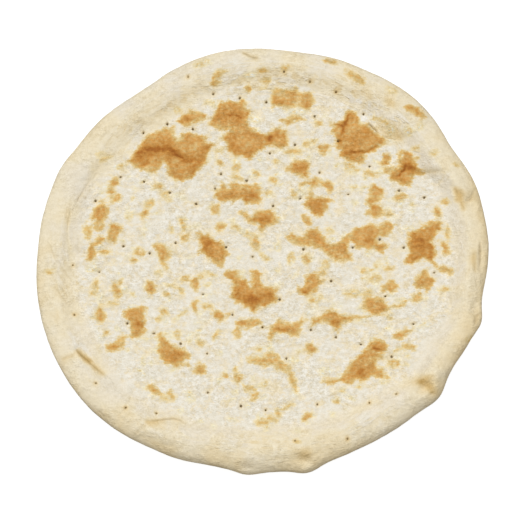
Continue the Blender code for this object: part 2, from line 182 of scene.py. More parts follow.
# ---------------------------------------------------------------- browning
# Darkness is in hundredths: 0 is cream, 100 deep brown.
# Large toasted patches: darkness, then the corners of the outline in order.
PATCHES = (
    (57, ((-90, 72), (-80, 88), (-75, 90), (-71.5, 93), (-61, 95.5), (-61, 91), (-58.5, 86.5), (-55, 90.5),
        (-50, 92), (-40, 88.5), (-39, 84), (-34, 82.7), (-38.5, 74), (-39.5, 68.5), (-43, 67), (-48, 59),
        (-55, 57), (-64.5, 61.5), (-64, 66), (-65, 69.5), (-68, 70.5), (-72, 64.5), (-78, 63.5),
        (-88, 69))),
    (51, ((-58.5, 100), (-50, 107.3), (-46, 107.5), (-39.5, 104.5), (-39, 101.5), (-53, 97))),
    (56.5, ((-29, 113), (-25, 114.3), (-19, 113.8), (-14.5, 114.8), (-12, 112.5), (-12.5, 109.5),
        (-8, 107), (-11, 101), (-9.5, 97), (-6, 93.5), (1.5, 90.5), (8, 94.5), (11, 95), (13, 92.8),
        (15.5, 93), (17, 86), (16, 82), (13, 80.5), (6, 83.5), (3, 83), (-6.5, 75.5), (-8.5, 72),
        (-15, 76), (-18, 74.5), (-22, 77), (-25, 85), (-28.5, 88.5), (-20.5, 92.5), (-22, 94.5), (-29, 94),
        (-36, 97))),
    (43, ((6, 121), (9, 123), (20.5, 122.5), (22, 124.5), (24, 121), (33, 120), (34, 114.5), (31, 107.5),
        (25.5, 110.5), (20, 110.5), (16, 108.5), (12.5, 111.5), (8, 111.5), (6, 109.5))),
    (55, ((11.5, 100.5), (17, 101.5), (20, 104), (26, 103.5), (28, 102), (20, 100), (17, 98))),
    (55, ((60, 107.3), (62.5, 106), (66, 98), (71.5, 98), (72, 95), (81, 88), (82.5, 85), (76, 77.5),
        (73.5, 79), (70.5, 78), (67.5, 71), (65, 70), (52, 75.5), (52.5, 79.5), (49.5, 82), (50, 86),
        (46.5, 93), (49, 96.5), (46, 98.5), (54.5, 100.5), (57, 107))),
    (59, ((93.5, 78.5), (97, 78.5), (100.5, 76.5), (103.5, 67.5), (109, 63), (101.5, 61.5), (101.5, 58),
        (99.5, 55), (95.5, 54), (86, 59.5), (89, 65.5), (92.5, 66.5), (93, 73), (91.5, 75.5))),
    (57, ((78.5, 70), (82, 72), (82.5, 76), (84.5, 77.5), (86.5, 74.5), (86, 71), (84, 68.5), (81, 68))),
    (42, ((68, 63), (71, 64.5), (75, 62), (79.5, 64), (78, 61), (74, 59.5))),
    (55, ((96, 111), (100, 111.3), (105, 109.5), (110, 103), (107.5, 101.5), (105.5, 104.5), (97.5, 108))),
    (50, ((15.5, 17.5), (20, 19), (24, 17), (29.5, 18), (31, 21), (36.5, 24), (37.5, 20.5), (42, 18),
        (42, 14.5), (46, 13), (50, 13.5), (53.5, 15.5), (56, 19), (60, 20), (61.5, 22.5), (72, 27.5),
        (76, 25.5), (80, 25.5), (83, 27.5), (90, 25.5), (83.5, 18), (79, 18.5), (76.5, 15.5), (78, 12.8),
        (85, 11.5), (82, 9), (80.5, 5.5), (75, 10), (69.5, 9), (65, 10.5), (62, 13.5), (58.5, 14.5),
        (57, 11), (59, 1.5), (49, 0.5), (41, 7), (32, 11), (23, 11.5))),
    (64, ((97.5, 21), (103, 20.5), (107, 24), (112, 25.5), (115.5, 28.5), (119.5, 28), (120, 24),
        (114, 14.5), (116, 4.5), (115, 1), (117, -4), (113.5, 0.5), (108, 2.5), (99.5, -1.5), (95.5, -1.5),
        (97, 3), (99.5, 6), (98, 13), (99, 17))),
    (52, ((110, -5.5), (111.5, -10), (115, -13.5), (114, -17), (111.5, -18.5), (110.5, -21.5), (108, -19),
        (104, -19.5), (101.5, -16.5), (103, -12.5))),
    (54, ((86.5, -13.5), (91.5, -17.5), (90, -20.5), (86.5, -22.5), (83.5, -21), (80.5, -22), (81, -19),
        (80, -17.5), (84.5, -16))),
    (53, ((28, -11), (36, -8.5), (38, -12.5), (40.5, -14), (31.5, -24.5), (23, -20.5), (24.5, -18.5),
        (28, -17.5))),
    (49, ((68, -28), (70, -26), (79, -25.5), (84.5, -31), (84.5, -35.5), (77, -38.5), (74, -38.5),
        (68.5, -33))),
    (59, ((-44.5, 20.5), (-37.5, 18.5), (-31.5, 14), (-29, 14.5), (-28, 11), (-22.5, 5), (-26.5, 3.5),
        (-26.5, -2.5), (-29.5, -3), (-36, 1.5), (-40.5, 6.5), (-43, 6), (-40.5, 9))),
    (62, ((-26, -9), (-24.5, -6), (-17, -7.5), (-15, -13), (-11, -12.8), (-9.5, -17), (-7, -18.5),
        (-6.3, -12), (-7.3, -5.5), (-1, -9), (-1.5, -14.5), (0, -18), (4, -19.5), (9, -19.5), (7.5, -23),
        (8.3, -27), (5, -31.5), (-3, -33), (-6.5, -36.5), (-9, -32.5), (-12, -32), (-22, -25.3),
        (-19.5, -22.5), (-21, -19), (-18.5, -16), (-20, -12.5))),
    (48, ((33, -40.5), (39, -39), (45.5, -33.5), (53, -39.5), (70, -38.8), (54, -43.5), (50, -48.5),
        (44, -44), (40, -42.5), (33, -45))),
    (45, ((5, -48), (11, -41), (15, -43.5), (20, -44), (26, -41.5), (28.5, -42.5), (24, -49), (24, -52.5),
        (19, -52), (15, -50), (10.5, -50), (5, -55.5), (3.5, -55))),
    (35, ((-11.5, -68.5), (-7, -67), (0, -68), (2, -65), (6, -64.5), (9, -65.5), (18, -75.5), (23.5, -88),
        (22.5, -92.5), (16, -79), (5, -73), (1, -74.5), (-9, -71.5))),
    (54, ((71, -57.5), (79, -55.5), (83.5, -60.5), (82, -63.5), (78.5, -65), (80, -68), (77, -68),
        (75, -71), (75.5, -74), (80, -76), (81.5, -79), (80.5, -82), (73, -80), (70.5, -83), (66, -83.5),
        (62, -82.5), (60.5, -85.5), (56.5, -86.5), (51, -84.8), (44, -86), (40, -84), (50, -83),
        (54.5, -80), (59.5, -71.5), (70.5, -61.5))),
    (55, ((24, 72.5), (28, 72), (30.5, 69.5), (30.5, 60.5), (26.5, 60), (16, 65.5), (19, 67.5),
        (18.5, 70.5))),
    (53, ((-31.5, 52), (-28, 52), (-27.5, 56.5), (-25.5, 55), (-24, 50.5), (-21.5, 52), (-21.5, 55),
        (-11, 55), (-8, 54), (-4.5, 55.5), (-1, 51), (-2, 48.5), (-1, 44.5), (-3, 41.5), (-11, 41),
        (-15, 45), (-18, 44), (-19.5, 41.5), (-21, 44), (-29, 43.5), (-33, 46.5), (-31, 49.5))),
    (52, ((-16, 34), (-14.5, 36), (-11.5, 35.5), (-9.5, 32.5), (-6.5, 32), (-4.5, 35), (5.5, 35.5),
        (8.5, 32.5), (9.5, 29.5), (7, 27), (1, 26), (-2, 21.5), (-3.5, 23), (-3, 26), (-10, 28))),
    (61, ((31, 49), (33, 48.5), (34, 45.5), (38, 46), (47, 43), (43, 41), (44, 38.5), (41, 36.5), (40, 33),
        (36.5, 31.5), (33, 34), (31.5, 37.5), (27.5, 40), (31.5, 44.5), (30.5, 46.5))),
    (52, ((25.5, 52), (25.5, 54.5), (28, 57.5), (32, 57), (35, 59.3), (41, 56.5), (45, 56.8), (47.5, 54.5),
        (47, 51), (45, 49.5), (37.5, 56.5), (36.5, 53), (33, 52), (30, 54), (27.5, 54))),
    (50, ((-109, 42), (-106, 40), (-104.5, 35.5), (-105.5, 32), (-108.5, 30.5), (-107, 23.5), (-111, 22),
        (-114.5, 24.5), (-113, 28), (-113.5, 30.5), (-116.5, 29.5), (-115, 37))),
    (47, ((-103, 26.5), (-99, 26), (-96, 24), (-98, 16.5), (-100, 13.5), (-106, 16), (-105, 20),
        (-102.5, 22.5))),
    (39, ((-118.5, 26.5), (-116, 26), (-118, 16), (-120.5, 17), (-121, 21), (-120.5, 24.5))),
    (51, ((-110.5, 18), (-108, 16), (-109, 13.5), (-114.5, 11), (-113.5, 6), (-114.5, 2), (-116.5, 0),
        (-120, 1.5), (-115.5, 12.5))),
    (43, ((-74.5, 11), (-71, 12.5), (-66.5, 12), (-62.5, 2.5), (-65, 1), (-65.5, -5.5), (-67.5, -3.5),
        (-68, 0), (-70, 1), (-72, 8))),
    (55, ((-89.5, -32.5), (-85, -33), (-81, -32), (-78.5, -33.5), (-80, -36.5), (-79, -48), (-80.5, -52),
        (-83.5, -54), (-88.5, -54), (-90, -46.5), (-89, -43.5), (-90, -41), (-94, -40), (-93.5, -37))),
    (52, ((-71.5, -53.5), (-68, -50.5), (-65, -56), (-61.5, -59.5), (-57.5, -61.5), (-53, -61.5),
        (-48.5, -66.5), (-51, -69), (-53.5, -69.5), (-50.5, -74.5), (-55, -72), (-58.5, -74.5), (-62, -72),
        (-67, -71.5), (-69.5, -67.5), (-70.5, -63), (-70, -57.5))),
    (53, ((-92.5, -53.5), (-96, -52.5), (-98, -56), (-102, -59), (-105.5, -60), (-104, -62.5),
        (-99, -62.5), (-94, -60.5))),
    (48, ((-43, -73), (-39.5, -73.5), (-38.5, -78.5), (-42, -79.3), (-47.5, -78.5), (-46, -75.5))),
    (50, ((-78, -88.5), (-75, -86.5), (-70.5, -91), (-67.5, -93), (-70, -93.5), (-75, -92))),
    (42, ((-64, -92.5), (-62, -89.5), (-60.5, -94), (-58.5, -95.5), (-59.5, -98), (-62, -97))),
    (54, ((-34.5, -36), (-30, -35), (-24, -37.5), (-25.5, -40.5), (-29, -42.5), (-31.5, -41))),
)
# Toasted spots: x, y, length, width, turn, darkness.
SPOTS = (
    (-27, 105, 3, 2, 0, 52), (-6, 101, 7, 4, -30, 14), (23, 107, 12, 3, 0, 10), (85, 65.5, 8, 4, 20, 33),
    (58, 67.5, 8, 5, -20, 28), (62, 64, 8, 3, 10, 18), (75.9, 49.6, 10, 8, 0, 52), (76.7, 45, 5, 6, 0, 48),
    (62, 52.5, 4, 2.5, 10, 26), (93.5, 45.5, 8, 4.5, 20, 42), (76, 36, 9, 9, 0, 52), (72, 35, 7, 4, 10, 44),
    (84, 34, 8, 3, -12, 33), (72.5, 42.5, 5, 6, -20, 44), (118, 34.5, 7, 3.5, -50, 38),
    (122.8, 41.7, 4, 4, 0, 39), (100.8, 40.9, 3, 3, 0, 18), (77, 101.8, 5, 1.8, -10, 33),
    (82, 99.5, 5, 1.8, 0, 33), (106.7, 96.4, 4, 5, 0, 18), (103.8, 80.6, 5, 1.8, 5, 29),
    (116.2, 77.5, 4, 3, -20, 29), (131.6, 68.7, 4, 2, -45, 33), (103.8, 74, 4, 2.5, 0, 28),
    (87, 93, 5, 7, 0, 12), (99.5, 93, 6, 5, 0, 16), (59.1, 134.5, 5, 3.5, -30, 44),
    (65.7, 130.2, 8, 5, -40, 45), (62.4, 132.2, 7, 3, -35, 39), (87.3, 121.8, 6, 4, -30, 24),
    (-28.2, 135.6, 6, 3, 5, 30), (-31.8, 132.6, 6, 3.5, 30, 40), (-32.6, 127.6, 6, 3.5, 10, 38),
    (0, 136, 6, 2.4, -5, 38), (1.8, 129.5, 6, 3, 0, 33), (-9.2, 133.3, 8, 4, 0, 12),
    (-10.5, 123.5, 5.5, 4, -30, 45), (1.1, 123.8, 4, 2, 0, 26), (14.6, 138, 5, 4, 0, 33),
    (45.7, 142.6, 8, 2, -15, 39), (-41.4, 141.8, 12, 3, 14, 13), (-36.2, 113.7, 7, 1.8, 8, 24),
    (37.5, 98.8, 5, 4.2, -20, 33), (29.6, 83.5, 5, 5, 40, 26), (34.5, 86, 6, 3, 20, 24),
    (41, 80.5, 9, 4, 0, 45), (41.5, 78.5, 5, 4.5, 0, 44), (20.5, 77.8, 13, 3.6, 3, 33),
    (-29.6, 79.4, 5, 3.5, 30, 26), (-29.6, 70.6, 4.5, 4.5, 0, 38), (-18, 67, 6, 5, 45, 33),
    (-17.5, 59.8, 7, 3.5, -20, 30), (-5, 62.5, 6, 3, -30, 30), (9.1, 71.7, 4, 3, -30, 24),
    (7, 57.1, 5, 3.5, -20, 32), (3.7, 49, 4.5, 3.2, 20, 32), (20.1, 48.8, 5, 4, 0, 33),
    (-57.6, 108.7, 4, 3, 10, 26), (-100.1, 56.2, 7, 4.5, 48, 45), (-103.2, 50, 3.5, 8, 15, 40),
    (-98.6, 44.8, 6.5, 5, 35, 38), (-103.5, 44.8, 2.5, 3, 0, 28), (-106.7, 73.3, 9, 3, 35, 24),
    (-110.4, 76.7, 5, 2, 30, 24), (-96, 68, 6, 4, 20, 24), (-71.9, 53.6, 6, 4, -20, 30),
    (-67, 47.8, 5, 4.6, 0, 33), (-64.2, 44.2, 3, 4, 25, 24), (-88.4, 44.8, 3, 2.4, 0, 26),
    (29.3, 29.5, 8.5, 3.6, -50, 44), (-32.5, 37, 7, 6, -20, 40), (-29, 24.4, 6.5, 5, 35, 42),
    (-18.7, 24, 7, 3.4, -40, 24), (-5.5, 13.5, 5.5, 11, 10, 28), (-9, 18.6, 7, 3, -45, 26),
    (1.1, 3, 9, 3.5, -35, 26), (9.8, 10.5, 4, 6, 20, 18), (19, 2, 4.5, 7, -10, 33),
    (28.9, 2, 4.5, 7, 10, 32), (42.1, -1.8, 6, 4, 20, 26), (39.9, -8, 4, 3.5, 20, 33),
    (44.5, 21.5, 5, 3, 0, 24), (125, 20, 9, 3, -72, 32), (122.8, 9.7, 10, 4, -60, 47),
    (122.3, -5.5, 9, 3, -12, 45), (125.5, -8.2, 3, 4.5, 0, 38), (85, -4.9, 6, 3, 0, 38),
    (75.2, -11.8, 8, 6, 20, 28), (68.6, -12.2, 5, 2.4, 0, 18), (76.7, -3.4, 6, 4, 0, 18),
    (70.1, -6.5, 9, 3, 10, 18), (62, -23, 8, 4, -5, 30), (57, -22.6, 5, 2, 0, 24),
    (70.1, -22.6, 4.5, 5, 0, 28), (103.8, -25.7, 6, 7, -20, 32), (95, -29.6, 6, 3.4, 40, 28),
    (90, -31.6, 6, 2.2, 5, 30), (122.1, -19.8, 9, 3, 10, 18), (85.5, -39.6, 3.5, 1.6, -35, 28),
    (91.5, -52.8, 9, 5.5, 20, 44), (96.4, -48.8, 7, 2.4, 8, 40), (98.6, -60.5, 7, 3.4, 0, 38),
    (92.5, -63, 8, 1.8, 15, 24), (87.5, -72.2, 9, 4.2, 10, 35), (83.3, -82, 5, 2.6, -20, 24),
    (65, -88.5, 5, 3, 0, 18), (54, -91.5, 4, 4, -50, 18), (49.6, -98, 3, 3.4, 0, 28),
    (-9.2, -44, 14, 5, 0, 47), (-14.5, -43.6, 6, 5, 0, 49), (-17, -50.3, 4.6, 7, -10, 42),
    (32.4, -61.3, 7, 6, -45, 42), (35.5, -27, 11, 4.5, 15, 26), (-80, 34.2, 6.5, 4.2, 60, 44),
    (-76.7, 41, 5, 3.4, 10, 32), (-91.5, 32, 4, 3, 50, 18), (-88.5, 33.5, 2.5, 4, 0, 18),
    (-54.7, 27, 10, 3, -62, 26), (-62, 22.8, 2.5, 5, 0, 26), (-52.9, 17, 6, 5.5, -20, 40),
    (-83, 7, 7.5, 6, -20, 32), (-87, 1, 4.6, 3, 10, 35), (-107.5, 6.4, 7, 3.6, 0, 33),
    (-115.5, -6, 7, 4, 0, 12), (-113.3, -17.5, 3.6, 8.5, 5, 30), (-115, -22.4, 4, 3, 0, 28),
    (-99.6, -20, 9, 4.4, -62, 40), (-98, -24, 4, 5, 20, 38), (-96.4, -14.9, 6, 4, 55, 24),
    (-88.2, -23.4, 3.4, 3.4, 0, 18), (-101.6, -29.9, 7, 2.6, -5, 24), (-76.5, -18.2, 7, 7, -30, 47),
    (-74.2, -21.4, 4.4, 4, 0, 40), (-65.3, -24, 4, 3.4, 0, 26), (-63.5, -16.5, 6, 2, -5, 24),
    (-70, -8, 4, 3, 40, 18), (-56, -20, 6, 3, -30, 26), (-109.7, -38, 4.8, 10.5, 0, 44),
    (-110, -32.5, 2.6, 4, 0, 28), (-66.5, -35.7, 4.6, 4.6, 20, 35), (-70.3, -41.5, 4, 3.4, 0, 32),
    (-55.5, -37.3, 9, 1.6, 45, 26), (-105.6, -51.1, 3.4, 2.8, 0, 32), (-58.3, -52.3, 4.4, 6, 10, 28),
    (-24.5, -80.9, 5, 4, 0, 33), (-18.3, -77, 2.6, 4.4, 0, 24), (-17.2, -82.5, 3.6, 6.4, 10, 38),
    (-9, -89.6, 9, 3, -25, 33), (-4.8, -95.4, 7, 3.4, 50, 35), (0.7, -86.7, 4.6, 4.6, 0, 26),
    (-65.5, -96.6, 4.6, 2.4, 0, 28), (15.7, -102.7, 9, 2, 25, 30), (10.6, -107, 5, 2.8, -55, 30),
    (6.6, -111, 8.5, 2.6, -20, 33), (-0.6, -113.8, 9.5, 3.4, 0, 35), (-2.6, -111.6, 3.4, 3.4, 0, 33),
    (29.3, -109.6, 7, 4, 35, 35), (22, -126.2, 3, 2.4, 0, 33), (-45.8, -15.9, 5, 8, 0, 45),
    (-52, -12, 5, 4.4, 0, 45), (-41.5, -11, 5, 2.6, 30, 28), (-35, -9.5, 6, 2.2, -20, 26),
    (-45.6, -31.5, 3.6, 7.4, -8, 45), (-37.5, -31.7, 6.4, 3.4, 0, 33), (-37.3, -17, 4.4, 3, 10, 18),
    (-32, -52.7, 7, 2.2, 52, 30), (-42.1, -57.3, 4.4, 3.8, 0, 30), (-3.3, -61.9, 3.4, 2.8, -30, 26),
    (-144, -7.2, 4.4, 2.6, -10, 26), (138.9, -55, 5, 3, 50, 26),
)
# Lighter and darker parts of the patches: x, y, length, width, turn, added darkness.
SHADES = (
    (-84, 75, 12, 10, 20, 24), (-74, 79.5, 24, 7, 4, 14), (-58, 77, 16, 8, -30, 14),
    (-62, 88, 14, 10, 0, -10), (-87, 70, 8, 5, 30, -10), (-77, 66, 13, 7, 8, -22),
    (-50, 83, 22, 14, -8, -12), (-42, 75, 9, 14, -20, 12), (-47, 66, 9, 12, -35, 12),
    (-66, 92, 16, 6, 10, -10), (-52, 90, 14, 4, -5, 6), (-20, 81, 8, 10, 0, 16), (-9, 77, 9, 8, 0, 14),
    (-9, 85, 16, 8, 0, -6), (4, 88, 9, 5, 20, 16), (12, 88, 9, 10, 0, -6), (-14, 111, 6, 5, 0, -14),
    (-27, 89, 7, 4, 0, -14), (23, 115, 7, 12, 0, -12), (29.5, 113, 5, 8, 0, 12), (16, 110, 8, 4, 0, -14),
    (50, 93, 8, 10, 0, -10), (69, 94, 9, 9, 0, 8), (63, 75, 12, 5, -10, -8), (56, 77, 8, 4, 0, 12),
    (95, 75, 5, 6, 0, -36), (98.5, 67, 8, 7, 0, 30), (90, 60, 7, 5, 0, 10), (98, 57, 7, 5, 0, -12),
    (106, 64, 6, 3, 0, -10), (20, 15, 12, 7, 0, -12), (37, 17, 9, 9, 0, 6), (57, 7, 5, 9, 0, 12),
    (73, 14, 12, 6, 0, 14), (87, 25, 8, 4, 10, -6), (106, 13, 9, 9, 0, 16), (112, 10, 5, 12, 0, 10),
    (114, 25, 9, 6, 30, -14), (99, 0, 7, 4, 0, -12), (28, -21.5, 9, 5, -20, 14), (-38, 12, 9, 10, -50, 18),
    (-28, 0, 6, 6, 0, -14), (-24, 5, 5, 4, 0, -14), (-43, 18, 6, 5, 0, -10), (-8, -26.5, 24, 7, 0, 20),
    (-5, -20, 14, 5, 0, -10), (-17, -12, 9, 10, -20, -14), (-4, -12, 5, 10, 0, -10), (4, -24, 7, 6, 0, 10),
    (46, -43, 10, 4, 0, 10), (12, -48, 12, 4, 0, 10), (77, -61, 9, 4, 0, 12), (66, -77, 11, 9, 30, 16),
    (78, -79, 6, 5, 0, -6), (25.5, 65, 7, 7, 0, 12), (25.5, 71, 7, 4, 0, -8), (-29, 49, 8, 5, 0, -8),
    (-5, 46, 8, 8, 0, 10), (-14, 52, 12, 4, 0, -8), (-30, 53, 5, 4, 0, -20), (1, 29, 16, 4, 0, 12),
    (-13, 33, 5, 5, 0, -12), (-2, 23, 4, 4, 0, -16), (37, 39, 10, 7, 0, 12), (32, 47, 4, 5, 0, -14),
    (-109, 35, 7, 7, 0, 10), (-110.5, 26, 6, 5, 0, -22), (-117, 3, 5, 5, 0, 6), (-84, -44, 8, 8, 0, 14),
    (-92, -37, 5, 6, 0, -14), (-62, -68, 14, 6, 0, 10), (-69, -54, 5, 6, 0, -12), (-52, -72, 4, 5, 0, -24),
)
# Dark lines within the patches: bent line, half width, added darkness.
CRACKS = (
    (((-86, 79), (-78, 80.3), (-70, 80), (-64, 79.5), (-58, 75.5), (-52, 73), (-43, 71)), 2.6, 20),
    (((-80, 80.3), (-74, 80.5), (-63, 81)), 0.8, 20),
    (((-62, 79), (-57, 74.3), (-50, 72.3), (-46, 70.5)), 0.8, 20),
    (((-84, 68), (-80, 69), (-77, 71)), 1.4, 20), (((-34.5, 82.5), (-40, 80), (-45, 80)), 1, 15),
    (((-56, 100.5), (-52.5, 103), (-50, 101), (-52, 98.5)), 0.9, 30),
    (((-27, 104.5), (-20, 104.5), (-16, 103.5)), 0.9, 30), (((-17, 104), (-14, 102)), 1.2, 20),
    (((2.6, 86.5), (5, 89.5), (7, 90)), 1.2, 22), (((10.5, 115), (14, 113)), 0.9, 25),
    (((7.5, 117), (8, 113)), 1, 20),
    (((48, 98.3), (53.5, 97), (55.5, 97.5), (58, 104), (60, 106.5)), 1, 40),
    (((54.7, 97), (54.3, 91.5), (52.5, 89), (50.5, 90)), 1, 34), (((50.8, 85.8), (53, 85.5)), 0.9, 50),
    (((58, 78.5), (63, 77.6), (70, 78), (74.5, 80.5), (79.5, 81.5)), 1, 34),
    (((54, 76.5), (60, 74), (62, 73)), 1.2, 14), (((61, 85.5), (66, 86)), 0.8, 18),
    (((71, 83.5), (77, 84.5)), 0.9, 16), (((97, 71), (95.7, 66), (92.8, 62), (91.5, 60)), 0.9, 42),
    (((97, 69), (103, 66)), 2.2, 16), (((95, 78), (100, 77)), 1, 24), (((89, 59), (92, 56.5)), 1.4, 14),
    (((-19, -24.5), (-9.2, -27.2), (-3, -29)), 1.8, 14), (((104.5, 15.8), (109, 14.4)), 1.6, 18),
    (((113.3, 13), (113.8, 5)), 1.6, 14), (((101, 11), (105, 10)), 0.8, 16),
    (((97, 4), (101, 1.5), (104, 2)), 1.2, 14), (((-4.8, 29.5), (2, 30.3), (5.5, 28)), 1.2, 16),
    (((25.3, -21.1), (31.1, -21.9)), 1.1, 20), (((45, -42.8), (52.3, -43.6)), 1.2, 22),
    (((7, -48), (17.2, -48.2)), 1, 22), (((67.2, 14.3), (75, 14.4)), 1.2, 18),
    (((58.5, 16), (61, 14.5), (64, 11.5)), 1.2, 16), (((73, -61.6), (80, -62.2)), 0.9, 28),
    (((62, -76), (68, -79)), 1.8, 14), (((-69.4, 2), (-65.7, 2.2)), 0.8, 30),
    (((-36, 14), (-38, 9), (-34, 5)), 1.6, 14), (((-30, 46.3), (-20, 46.5), (-10, 46.8)), 1.4, 14),
    (((-6.5, 48), (-6, 44.5)), 1, 20), (((-87, -45), (-82, -46)), 1.4, 16),
    (((105, -14), (109, -16)), 1, 16),
)
# Olive painted shade in the rim's hollows, with straw stains: x, y, length, width, turn, olive painted shade,
# straw tone.
HOLLOWS = (
    (106, -84.8, 8, 5, 20, 0.42, 0.12), (111, -82, 9, 5, 25, 0.2, 0.1), (112, -88.5, 14, 7, -50, 0.2, 0.17),
    (107, -85, 22, 14, 0, 0.05, 0.07), (113.4, -92.3, 2.6, 2, 0, 0.4, 0.1),
    (28.4, -136, 11, 10, 0, 0.2, 0.1), (31, -132, 26, 14, 30, 0.06, 0.04),
    (-11.5, -143.5, 15, 6, 4, 0.32, 0), (86, 92, 20, 12, -38, 0.12, 0.07),
    (138.5, 46.5, 14, 12, 20, 0.16, 0.04), (142, 2, 5, 14, 0, 0.08, 0.07), (143.3, -38, 8, 7, 0, 0.2, 0),
    (86, 114, 14, 9, -45, 0.04, 0.12), (-83.3, 99.5, 9, 4, -10, 0.2, 0.03),
    (-62, 113, 30, 11, 22, 0.05, 0.04), (-90, 95, 24, 12, 38, 0.05, 0.04), (-123, 9, 14, 9, 0, 0.14, 0),
    (-106, 13, 18, 6, 10, 0.1, 0), (-112, -107, 16, 6, -50, 0.12, 0.03), (113, 63.8, 16, 5, -4, 0.14, 0.05),
    # The last five lie along the rim's slopes, where their olive and straw darken and warm the shade there:
    # painted shade.
    (-30, 128, 70, 13, 6, 0.03, 0.04), (40, 128, 60, 12, -14, 0, 0.03), (72, 118, 30, 12, -35, 0, 0.05),
    (-86, 104, 40, 12, 34, 0.04, 0.02), (-70, -128, 60, 8, -24, 0.03, 0.02),
)
# Where the skin is drawn into fine lines: x, y, length, width, turn, how much.
STRETCHED = (
    (-58, 114, 70, 30, 22, 0.7), (0, 127, 120, 40, 0, 1), (62, 116, 60, 36, -30, 1),
    (92, 96, 46, 34, -48, 0.8), (116, 62, 40, 30, -62, 0.5), (-96, 90, 60, 30, 48, 0.5),
    (0, -128, 120, 26, 0, 0.5), (70, -112, 60, 24, 32, 0.5), (-70, -116, 60, 24, -28, 0.5),
    (-136, -6, 24, 90, 0, 0.4), (132, 0, 24, 80, 0, 0.3), (-120, -64, 22, 60, 28, 0.4),
)
FRECKLES = 260                  # small faint spots, strewn by a seeded draw
FRECKLE_REACH = 122.0
FRECKLE_SPANS = ((1.6, 4.6), (1.2, 2.6), (-40.0, 60.0), (5.0, 15.0))     # of length, width, turn and darkness
SPOT_BLEND = 0.7                # how softly spots that touch run into each other
SPOT_RISE = 0.3                 # how far the spots stand proud

# ---------------------------------------------------------------- skin mesh
STATION_RINGS = (114, 15, 14, 7)        # rings of points on the floor, the slope, the wall and the foot
RINGS = sum(STATION_RINGS)
BASE_RINGS = (                  # share of the foot's radius, and how many of the foot's points go to one here
    (0.992, 1), (0.976, 2), *((0.95 - 0.025 * k, 4) for k in range(13)),
    *((0.61 - 0.035 * k, 8) for k in range(9)), *((0.30 - 0.05 * k, 16) for k in range(5)),
)
BASE_HOLLOWS = 0.5              # height of the underside's hollows
BASE_EDGE = (0.985, 0.03)       # share of the foot's radius by which they end, and over how much of it
HOLE_PULL, HOLE_PULL_REACH = 0.74, 3.0
LINE_PULL, LINE_PULL_REACH = 0.6, 3.2
WIDEST_PULLED_TUCK, WIDEST_PULLED_CRACK = 1.5, 1.1
PULL_FADE = (2.85, 0.4)         # stations, as for the relief
PIT_RADIUS, PIT_DEPTH = 0.86, 2.2
DISH_RADIUS, DISH_DEPTH = 4.2, 0.35
STAIN_RADIUS, STAIN_TONE, STAIN_LOSS = 1.7, 0.3, 0.2      # straw stain round a hole, less where it is open
LIP_AT = 1.6                    # half widths of a tuck from its line to the top of its lip
SMALL_BOOST = 1.3
PATCH_MARGIN, PATCH_DEPTH, FAR_OUTSIDE = 6.0, 3.2, -9.0
RIM_HOLE = 0.85                 # how open the holes on the rim are beside those in the floor
RIM_HOLE_FADE = (1.5, 0.4)      # stations, as for the relief
NOISE_TABLE = 48
# Layers of noise: amount, size of the lumps, seed.
SPOT_WANDER_X = ((0.9, 4.5, 11), (0.6, 2.3, 12))
SPOT_WANDER_Y = ((0.8, 4.5, 13), (0.5, 2.3, 14))
FRECKLE_SEED = 15
LUMPS = ((0.34, 9.0, 21), (0.23, 4.4, 22), (0.13, 2.4, 23))
GROOVES = ((1.0, 22.0, 24),)
BORDER_WANDER = ((3.5, 20.0, 31),)
BASE_LUMPS = ((1.0, 13.0, 41), (0.5, 5.0, 42))
RIM_START = (0.95, 0.4)         # station where the rim's smoother skin starts, and over how many it comes
RIM_SMOOTHNESS = 0.6
GROOVE_ROUND, GROOVE_ACROSS, GROOVE_SHARPNESS = 150.0, 8.5, 2.2
GROOVE_DEPTH, DRAWN_GROOVE_DEPTH = 0.06, 0.12
FINEST_FADE = (4.0, 0.6)        # stations, as for the relief
SKIN_WIDTH = 24.0               # of the bare skin, from the widest point inwards
SKIN_BORDER = 7.0               # how wide its border is
SKIN_WIDTH_SWELLS = ((92, 32, 9), (133, 16, 4), (272, 32, 7), (204, 24, 5), (45, 16, 4))
WALL_STRAW = 0.045              # tone that the wall gains towards its widest point, but for the swells
WALL_STRAW_START, RIM_STRAW_START = (1.7, 0.9), (1.5, 0.4)        # stations, as for RIM_START
WALL_STRAW_SWELLS = ((98, 48, -0.035), (0, 30, 0.02))
RIM_STRAW_SWELLS = ((125, 26, -0.022), (62, 20, -0.01), (0, 26, 0.018), (300, 18, -0.014), (184, 16, -0.01))


def rise(value, start, length):
    """0 up to the start, then straight up to 1 over that length."""
    return np.clip((value - start) / length, 0.0, 1.0)


def fall(value, end, length):
    """1 up to a length before the end, then straight down to 0 there."""
    return np.clip((end - value) / length, 0.0, 1.0)


def bell(value):
    """1 at zero, falling to nothing on both sides."""
    return np.exp(-value ** 2)


def swell(bearing, swells):
    """Sum of bell curves round the rim, each of them (bearing, half spread, amount)."""
    total = np.zeros_like(bearing)
    for at, spread, amount in swells:
        total += amount * bell(((bearing - at + 180.0) % 360.0 - 180.0) / spread)
    return total


def rim_sizes(bearing):
    """Radius of the widest point, radius where the floor ends, inset of the crown and height of the crown."""
    oval = OVAL * np.cos(np.radians(2.0 * (bearing - OVAL_BEARING)))
    three = THREE_SIDED * np.cos(np.radians(3.0 * (bearing - THREE_SIDED_BEARING)))
    radius = MEAN_RADIUS + oval + three + swell(bearing, OUTLINE_SWELLS)
    width = RIM_WIDTH + swell(bearing, RIM_WIDTH_SWELLS)
    return radius, radius - width, CROWN_INSET * width, CROWN_HEIGHT + swell(bearing, CROWN_HEIGHT_SWELLS)


